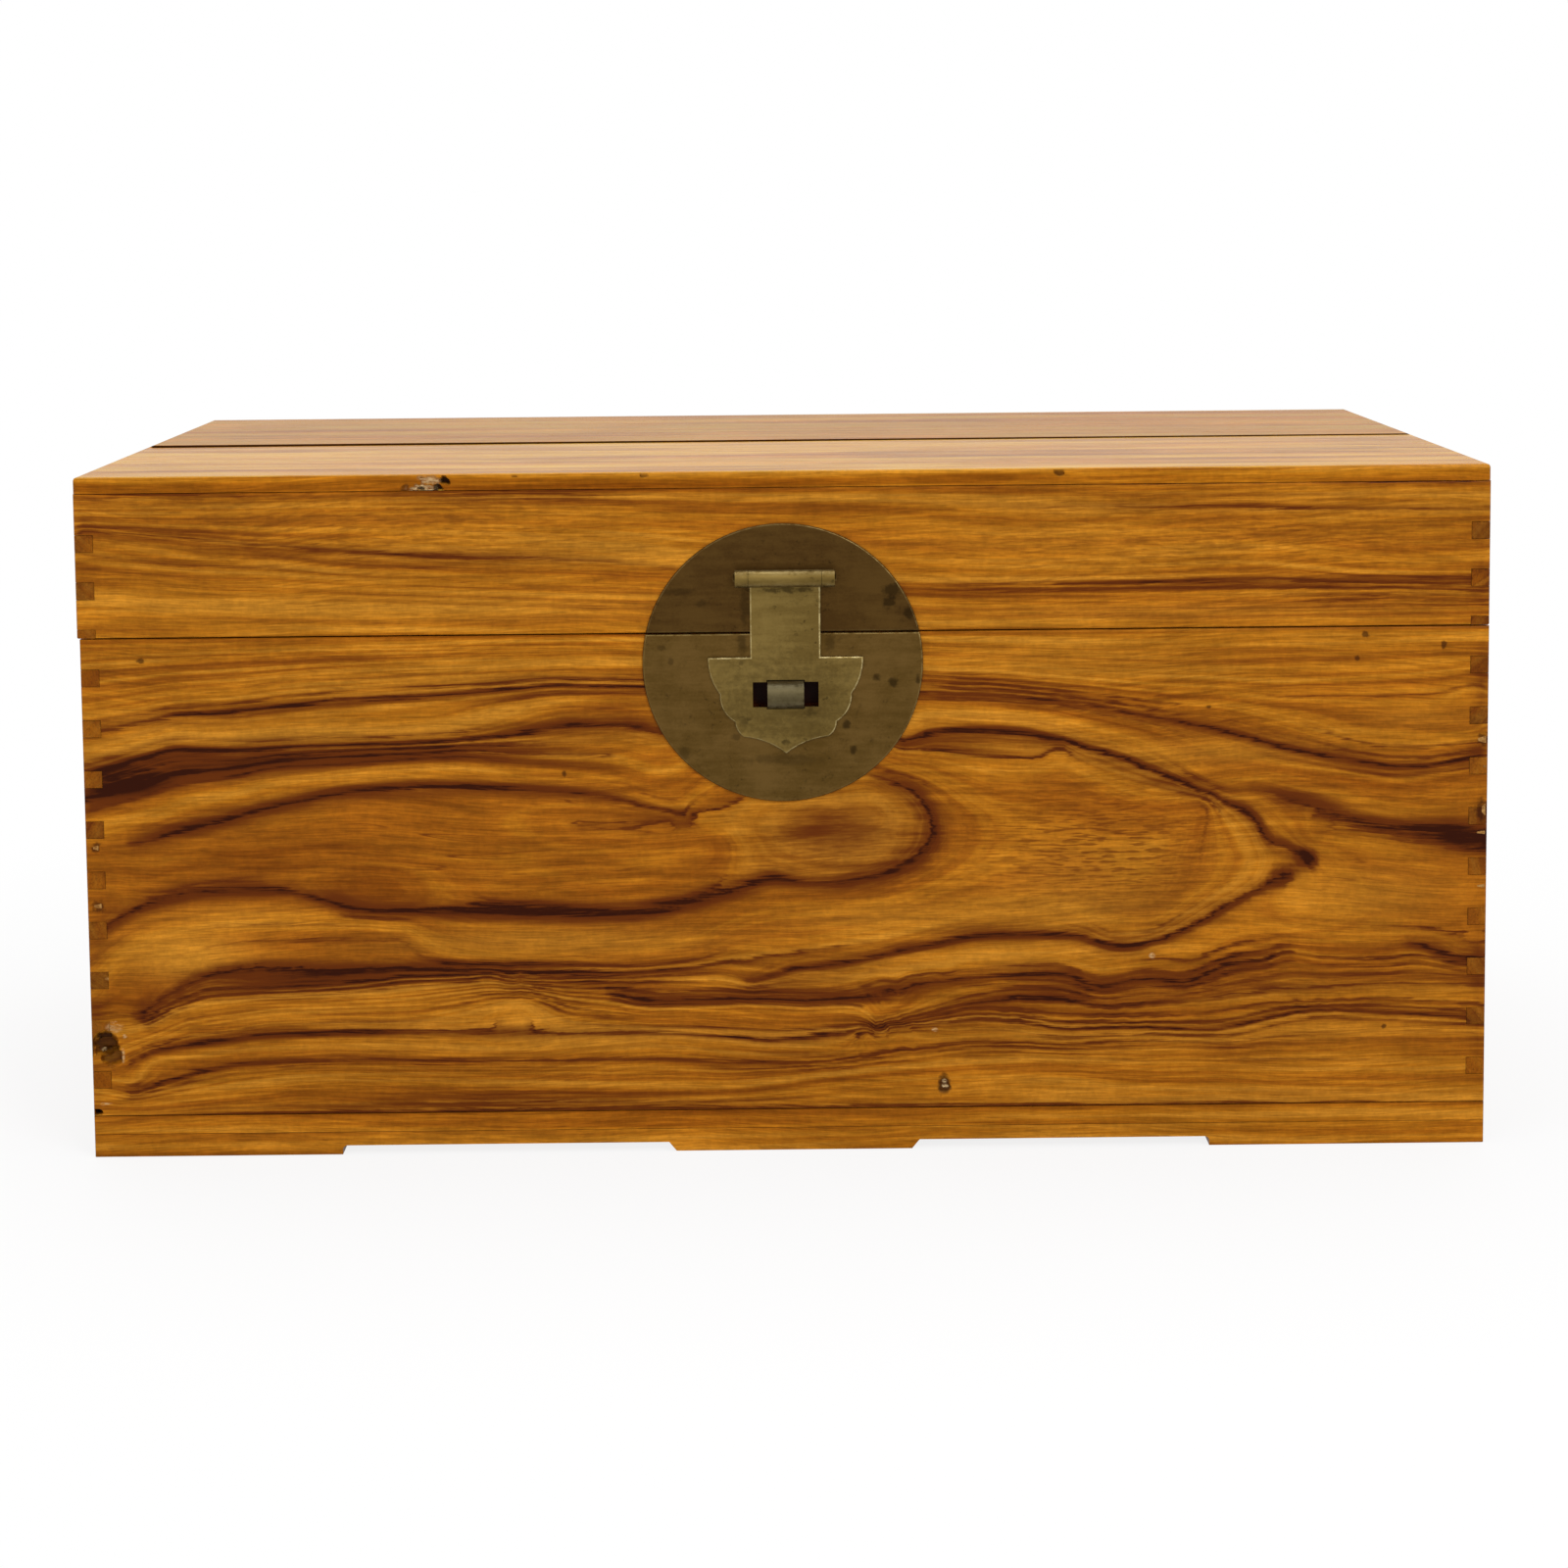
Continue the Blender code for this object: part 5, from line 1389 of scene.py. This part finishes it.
@dataclass(frozen=True)
class Boards:
    """All boards of the case and the lid."""

    along_x: CamphorWood = CamphorWood("camphor_along_x", Axis.X)
    along_y: CamphorWood = CamphorWood("camphor_along_y", Axis.Y, spots=(
        Spot(1510, 752, 8, 7), Spot(1509, 825, 7, 11), Spot(101, 864, 6, 6), Spot(103, 924, 7, 6),
    ))
    front: CamphorWood = CamphorWood("camphor_front", Axis.X, spots=(
        Spot(1389, 643, 4, 4), Spot(1468, 654, 3, 5), Spot(1380, 668, 3, 3), Spot(1230, 718, 3, 2),
        Spot(1412, 1053, 3, 3), Spot(148, 672, 4, 3), Spot(577, 787, 3, 3), Spot(1510, 752, 8, 7),
        Spot(1509, 825, 7, 11), Spot(1512, 849, 7, 4), Spot(101, 864, 6, 6), Spot(103, 924, 7, 6),
    ))
    # The lid top's boards carry a painted sheen, paler on the front board than on the rear.
    lid_top: CamphorWood = CamphorWood(
        "camphor_lid_top", Axis.X, roughness=0.26, gloss=0.025, painted_sheen=(0.57, 0.312, 0.034, 1.0))
    lid_top_rear: CamphorWood = CamphorWood(
        "camphor_lid_top_rear", Axis.X, roughness=0.26, gloss=0.012, painted_sheen=(0.38, 0.205, 0.024, 1.0))

    def boards(self) -> tuple[Board, ...]:
        """The boards with their planks."""
        case, lid = Body.CASE, Body.LID
        x, y, z = Axis.X, Axis.Y, Axis.Z
        plank = PLANK_FIGURE
        return (
            Board("front_wall", case, x, z, FRONT_FIGURE, 0.005, thickness_level=0.02, scars=FRONT_SCARS),
            Board("lid_front_rail", lid, x, z, LID_FIGURE, 0.006, thickness_level=0.02),
            Board("back_wall", case, x, z, plank, turn=Turn.END_FOR_END),
            Board("left_wall", case, y, z, plank, shift=(80.0, 0.0), scars=KNOT_SCARS),
            Board("right_wall", case, y, z, plank, turn=Turn.END_FOR_END, shift=(260.0, 0.0)),
            Board("lid_back_rail", lid, x, z, plank, turn=Turn.BOTH, shift=(0.0, 20.0)),
            Board("lid_left_rail", lid, y, z, plank, shift=(80.0, 190.0)),
            Board("lid_right_rail", lid, y, z, plank, turn=Turn.OVER, shift=(200.0, 200.0)),
            Board("lid_top_board_front", lid, x, y, STRAIGHT_FIGURE, turn=Turn.OVER, scars=LID_TOP_SCARS,
                  joint=Joint.SUNK),
            Board("lid_top_board_rear", lid, x, y, STRAIGHT_FIGURE, turn=Turn.BOTH, joint=Joint.GRIMY),
            Board("bottom_board_front", case, x, y, STRAIGHT_FIGURE, turn=Turn.END_FOR_END),
            Board("bottom_board_rear", case, x, y, plank, turn=Turn.OVER, shift=(0.0, 20.0)),
            Board("base_rail_front", case, x, z, STRAIGHT_FIGURE, shift=(0.0, 55.0)),
            Board("base_rail_back", case, x, z, plank, turn=Turn.END_FOR_END, shift=(0.0, 20.0)),
            Board("base_rail_left", case, y, z, plank, shift=(100.0, 20.0)),
            Board("base_rail_right", case, y, z, plank, turn=Turn.OVER, shift=(200.0, 280.0)),
        )

    def build(self) -> None:
        """Build and dress every board."""
        finishes = {Axis.X: self.along_x.material(), Axis.Y: self.along_y.material()}
        own = {
            "front_wall": self.front.material(),
            "lid_top_board_front": self.lid_top.material(),
            "lid_top_board_rear": self.lid_top_rear.material(),
        }
        for board in self.boards():
            board.build(own.get(board.node, finishes[board.grain]))


class BrassTone(Enum):
    """Tones of the brass, from the dark upper lock plate to the hasp, worn by hands."""

    UPPER_PLATE = AgedBrass(
        "brass_upper_plate", (0.086, 0.045, 0.011, 1.0), (0.057, 0.028, 0.007, 1.0),
        (0.15, 0.10, 0.035, 1.0), spots=(
            # The strip at 802, 596 under the hasp's barrel and the tall spot at 760, 615 left of the hasp's
            # neck are painted shade.
            Spot(908, 597, 10, 8), Spot(905, 610, 7, 7), Spot(926, 621, 6, 8), Spot(692, 600, 20, 4, 0.4),
            Spot(716, 612, 8, 4, 0.4), Spot(760, 615, 5, 24, 0.5), Spot(802, 596, 46, 4, 0.6),
        ))
    LOWER_PLATE = AgedBrass(
        "brass_lower_plate", (0.128, 0.072, 0.019, 1.0), (0.084, 0.046, 0.010, 1.0),
        (0.20, 0.135, 0.046, 1.0), spots=(
            # The spot at 757, 652, left of the hasp's neck, is painted shade.
            Spot(893, 688, 5, 4), Spot(910, 692, 5, 5), Spot(863, 736, 4, 5), Spot(870, 762, 4, 5),
            Spot(935, 689, 3, 5), Spot(675, 657, 5, 3, 0.4), Spot(685, 671, 4, 4, 0.4),
            Spot(750, 749, 5, 4, 0.4), Spot(698, 765, 8, 7, 0.4), Spot(757, 652, 6, 12, 0.5),
            Spot(846, 652, 6, 10, 0.4), Spot(802, 772, 40, 6, 0.35),
        ))
    HASP = AgedBrass(
        "brass_hasp", (0.196, 0.130, 0.036, 1.0), (0.132, 0.084, 0.0215, 1.0),
        (0.52, 0.42, 0.20, 1.0), spots=(
            # The strip at 802, 597 under the barrel is painted shade.
            Spot(760, 731, 6, 5, 0.5), Spot(755, 673, 3, 4, 0.5), Spot(802, 754, 6, 4, 0.5),
            Spot(825, 723, 10, 5, 0.4), Spot(802, 597, 36, 4, 0.7), Spot(802, 712, 100, 60, 0.34),
        ))
    STAPLE = AgedBrass(
        "brass_staple", (0.118, 0.094, 0.046, 1.0), (0.070, 0.054, 0.024, 1.0), (0.36, 0.32, 0.20, 1.0))
    FITTING = AgedBrass("brass_fitting", roughness=0.40)
    SIDE_FITTING = AgedBrass("brass_side_fitting", face=Axis.X, roughness=0.40)


@dataclass(frozen=True)
class Fitting:
    """A brass fitting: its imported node, body and tone, the side that it shows and the width of its rim."""

    node: str
    body: Body
    tone: BrassTone
    side: Side = Side.FRONT
    ease: float = 0.0
    opening: Opening | None = None

    def build(self, finish: bpy.types.Material) -> bpy.types.Object:
        """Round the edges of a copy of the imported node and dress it.

        Args:
            finish: The brass.

        Returns:
            The dressed fitting.
        """
        bench = Bench.copy_of(self.node)
        if self.ease > 0.0:
            bench.ease(self.side, self.ease, self.opening)
        bench.smooth()
        return bench.done(finish, self.body, Slot.BRASS, self.node)


@dataclass(frozen=True)
class Brasses:
    """All brass of the lock, the hinges and the handles."""

    plate_ease: float = 0.0011
    hasp_ease: float = 0.0010
    small_ease: float = 0.0006
    window: Opening = Opening((0.0, 0.3056), (0.026, 0.012))

    def lock(self) -> tuple[Fitting, ...]:
        """The fittings of the lock."""
        front = Side.FRONT
        return (
            Fitting("lock_plate_upper", Body.LID, BrassTone.UPPER_PLATE, front, self.plate_ease),
            Fitting("lock_plate_lower", Body.CASE, BrassTone.LOWER_PLATE, front, self.plate_ease),
            Fitting("lock_staple", Body.CASE, BrassTone.STAPLE),
            Fitting("hasp", Body.HASP, BrassTone.HASP, front, self.hasp_ease, self.window),
            Fitting("hasp_pin", Body.LID, BrassTone.FITTING),
            Fitting("hasp_knuckle_left", Body.LID, BrassTone.HASP),
            Fitting("hasp_knuckle_right", Body.LID, BrassTone.HASP),
        )

    def hinge(self, side: str) -> tuple[Fitting, ...]:
        """The fittings of one hinge on the back."""
        return (
            Fitting(f"hinge_leaf_case_{side}", Body.CASE, BrassTone.FITTING, Side.BACK, self.small_ease),
            Fitting(f"hinge_leaf_lid_{side}", Body.LID, BrassTone.FITTING, Side.BACK, self.small_ease),
            Fitting(f"hinge_pin_{side}", Body.CASE, BrassTone.FITTING),
        )

    def handle(self, side: Side, bail: Body) -> tuple[Fitting, ...]:
        """The fittings of the handle on one end."""
        name = side.name.lower()
        case, tone = Body.CASE, BrassTone.SIDE_FITTING
        ends = ("front", "rear")
        return (
            Fitting(f"{name}_bail", bail, tone),
            *(Fitting(f"{name}_eye_{end}", case, tone) for end in ends),
            *(Fitting(f"{name}_rosette_{end}", case, tone, side, self.small_ease) for end in ends),
        )

    def build(self) -> None:
        """Build and dress every fitting."""
        finishes = {tone: tone.value.material() for tone in BrassTone}
        handles = self.handle(Side.LEFT, Body.LEFT_BAIL) + self.handle(Side.RIGHT, Body.RIGHT_BAIL)
        for fitting in self.lock() + self.hinge("left") + self.hinge("right") + handles:
            fitting.build(finishes[fitting.tone])
        Nails().build(finishes[BrassTone.FITTING])


@dataclass(frozen=True)
class Bamboo:
    """Pale split bamboo, cut across."""

    name: str = "bamboo"
    pale: Colour = (0.38, 0.20, 0.055, 1.0)
    dull: Colour = (0.19, 0.075, 0.012, 1.0)
    fibre_waves: Triple = (520.0, 200.0, 700.0)
    roughness: float = 0.55
    gloss: float = 0.1

    def material(self) -> bpy.types.Material:
        """Build the finish."""
        tree = Tree.of_material(self.name)
        fibre = tree.noise(tree.object_place(), self.fibre_waves, 4.0, 0.7)
        tree.surface({
            "Base Color": tree.blend(tree.steps(fibre, 0.34, 0.66), self.dull, self.pale),
            "Roughness": self.roughness,
            "Specular IOR Level": self.gloss,
        })
        tree.ripple(fibre, 0.0003, 0.3)
        return tree.owner


@dataclass(frozen=True)
class Peg:
    """A peg seen end on in a corner of the front: its pixel in the photograph and its size in pixels."""

    column: float
    row: float
    width: float
    height: float


@dataclass(frozen=True)
class Pegs:
    """Split-bamboo pegs through the corner fingers, with copies of them on the back."""

    pegs: tuple[Peg, ...] = (
        Peg(1511.5, 752, 9, 8), Peg(1515, 780, 3, 3), Peg(1511, 825, 4, 14), Peg(1512.5, 849, 9, 4),
        Peg(1511, 905, 8, 4), Peg(100.5, 864, 6, 6), Peg(102, 924.5, 8, 6), Peg(110, 1000, 4, 4))
    length: float = 0.006
    proud: float = 0.00015
    margin: float = 0.0012
    narrow: float = 0.45
    round: float = 0.10
    round_strips: int = 2

    def model(self) -> bpy.types.Object:
        """Model a peg of unit size: a wedge that narrows to one side, with rounded edges."""
        Bench.clear()
        bpy.ops.mesh.primitive_cube_add(size=1.0)
        peg = bpy.context.active_object
        for vertex in peg.data.vertices:
            vertex.select = vertex.co[0] < 0.0
        for element in (*peg.data.polygons, *peg.data.edges):
            element.select = False
        bpy.ops.object.mode_set(mode="EDIT")
        bpy.ops.transform.resize(value=(1.0, 1.0, self.narrow), center_override=(-0.5, 0.0, 0.0))
        bpy.ops.mesh.select_all(action="SELECT")
        bpy.ops.mesh.bevel(offset=self.round, segments=self.round_strips, affect="EDGES")
        bpy.ops.object.mode_set(mode="OBJECT")
        return peg

    def build(self) -> None:
        """Copy the peg to its places on the front and the back."""
        finish = Bamboo().material()
        model = self.model()
        scale = FRONT_FACE.scale() * MM
        low, high = box_of("front_wall")
        front = low[1] + self.length / 2 - self.proud
        back = box_of("back_wall")[1][1] - self.length / 2 + self.proud
        for number, peg in enumerate(self.pegs):
            x, z = FRONT_FACE.in_frame(peg.column, peg.row)
            inset = self.margin + peg.width * scale / 2
            x = min(max(x, low[0] + inset), high[0] - inset)
            size = (peg.width * scale, self.length, peg.height * scale)
            for end, y in (("front", front), ("back", back)):
                bench = Bench.placed(model, f"peg_{end}_{number}", (x, y, z), size)
                bench.done(finish, Body.CASE, Slot.WOOD)
        bpy.data.objects.remove(model)


@dataclass(frozen=True)
class Nails:
    """Domed nails in the leaves of the back's hinges."""

    radius: float = 0.0030
    height: float = 0.0013
    circle: float = 0.0290
    segments: int = 20
    rings: int = 12
    angles: tuple[float, ...] = (25.0, 90.0, 155.0)

    def model(self) -> bpy.types.Object:
        """Model a nail head that looks to +Y: a ball cut in half and flattened."""
        Bench.clear()
        bpy.ops.mesh.primitive_uv_sphere_add(
            segments=self.segments, ring_count=self.rings, radius=self.radius)
        nail = bpy.context.active_object
        bpy.ops.object.mode_set(mode="EDIT")
        bpy.ops.mesh.select_all(action="SELECT")
        middle = (0.0, 0.0, 0.0)
        bpy.ops.mesh.bisect(plane_co=middle, plane_no=(0.0, 1.0, 0.0), use_fill=True, clear_inner=True)
        bpy.ops.mesh.select_all(action="SELECT")
        bpy.ops.transform.resize(value=(1.0, self.height / self.radius, 1.0), center_override=middle)
        bpy.ops.object.mode_set(mode="OBJECT")
        return nail

    def build(self, finish: bpy.types.Material) -> None:
        """Copy the nail to its places.

        Args:
            finish: The brass.
        """
        model = self.model()
        for side in ("left", "right"):
            low, high = box_of(f"hinge_pin_{side}")
            middle = (low + high) / 2
            for half, body, turn in (("case", Body.CASE, 180.0), ("lid", Body.LID, 0.0)):
                plane = Bench(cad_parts[f"hinge_leaf_{half}_{side}"]).broad_planes(Side.BACK)[0]
                for number, angle in enumerate(self.angles):
                    course = math.radians(angle + turn)
                    x = middle[0] + self.circle * math.cos(course)
                    z = middle[2] + self.circle * math.sin(course)
                    bench = Bench.placed(model, f"hinge_nail_{half}_{side}_{number}", (x, plane, z))
                    bench.done(finish, body, Slot.BRASS)
        bpy.data.objects.remove(model)


@dataclass(frozen=True)
class Lamp:
    """A square soft lamp that looks at the trunk's middle: its place, its side and its power in watts."""

    name: str
    place: Triple
    size: float
    power: float
    aim: Triple = (0.0, 0.0, 0.25)

    def hang(self) -> None:
        """Hang the lamp."""
        data = bpy.data.lights.new(self.name, "AREA")
        data.size = self.size
        data.energy = self.power
        lamp = bpy.data.objects.new(self.name, data)
        turn = (Vector(self.aim) - Vector(self.place)).to_track_quat("-Z", "Y").to_matrix().to_4x4()
        lamp.matrix_world = Matrix.Translation(self.place) @ turn
        bpy.context.scene.collection.objects.link(lamp)


@dataclass(frozen=True)
class Studio:
    """Pale floor, soft lamps and the camera of the photograph."""

    eye: Triple = (-0.0083, -2.2103, 0.6324)
    yaw: float = -0.250
    pitch: float = -5.252
    roll: float = -0.542
    lens: float = 69.7
    shift: float = -0.20
    floor_size: float = 14.0
    floor_drop: float = 0.0004
    floor_grey: Colour = (0.80, 0.80, 0.80, 1.0)
    floor_roughness: float = 0.9
    floor_gloss: float = 0.1
    shadow: float = 0.84
    shadow_from: float = 0.45
    shadow_to: float = 1.1
    fill: float = 0.55
    lamps: tuple[Lamp, ...] = (
        Lamp("key_lamp", (1.6, -2.6, 2.4), 1.6, 56.0),
        Lamp("fill_lamp", (-2.2, -2.4, 1.2), 2.0, 26.0),
        Lamp("top_lamp", (0.0, 0.6, 2.8), 2.4, 46.0),
    )

    def camera(self) -> None:
        """Place the camera at the photograph's point of view."""
        yaw, pitch, roll = (math.radians(angle) for angle in (self.yaw, self.pitch, self.roll))
        forward = Vector((-math.sin(yaw) * math.cos(pitch), math.cos(yaw) * math.cos(pitch), math.sin(pitch)))
        level = Vector((math.cos(yaw), math.sin(yaw), 0.0))
        above = level.cross(forward)
        right = math.cos(roll) * level + math.sin(roll) * above
        up = -math.sin(roll) * level + math.cos(roll) * above
        data = bpy.data.cameras.new("photo_camera")
        data.lens = self.lens
        data.shift_y = self.shift
        camera = bpy.data.objects.new("photo_camera", data)
        turn = Matrix((right, up, -forward)).transposed().to_4x4()
        camera.matrix_world = Matrix.Translation(self.eye) @ turn
        bpy.context.scene.collection.objects.link(camera)
        bpy.context.scene.camera = camera

    def floor(self) -> None:
        """Lay the pale floor, which looks white to the camera and keeps the shadow."""
        Bench.clear()
        bpy.ops.mesh.primitive_plane_add(size=self.floor_size, location=(0.0, 0.0, -self.floor_drop))
        plane = bpy.context.active_object
        plane.name = "floor"
        tree = Tree.of_material("pale_floor")
        tree.surface({
            "Base Color": self.floor_grey,
            "Roughness": self.floor_roughness,
            "Specular IOR Level": self.floor_gloss,
        })
        far = tree.vector("LENGTH", tree.object_place()).outputs["Value"]
        white = tree.times(tree.seen(), tree.steps(far, self.shadow_from, self.shadow_to, self.shadow, 1.0))
        glow = tree.add("ShaderNodeEmission", {"Color": WHITE, "Strength": 1.0})
        tree.show(white, tree.nodes["Principled BSDF"].outputs[0], glow.outputs[0], "Material Output")
        plane.data.materials.append(tree.owner)

    def sky(self) -> None:
        """Set the even surrounding light, white to the camera and in reflections."""
        tree = Tree(bpy.data.worlds.new("white_room"))
        shown = tree.nodes["Background"]
        fill = tree.nodes.new("ShaderNodeBackground")
        for light, strength in ((shown, 1.0), (fill, self.fill)):
            tree.feed(light.inputs["Color"], WHITE)
            tree.feed(light.inputs["Strength"], strength)
        tree.show(tree.seen(), fill.outputs[0], shown.outputs[0], "World Output")
        bpy.context.scene.world = tree.owner

    def build(self) -> None:
        """Set up the camera, the floor, the lamps and the view."""
        bpy.context.scene.view_settings.view_transform = "Standard"
        self.camera()
        self.floor()
        self.sky()
        for lamp in self.lamps:
            lamp.hang()


def main() -> None:
    """Build every part of the scene in order."""
    logging.basicConfig(level=logging.INFO, format="%(message)s")
    Studio().build()
    Boards().build()
    Pegs().build()
    Brasses().build()


if __name__ == "__main__":
    main()
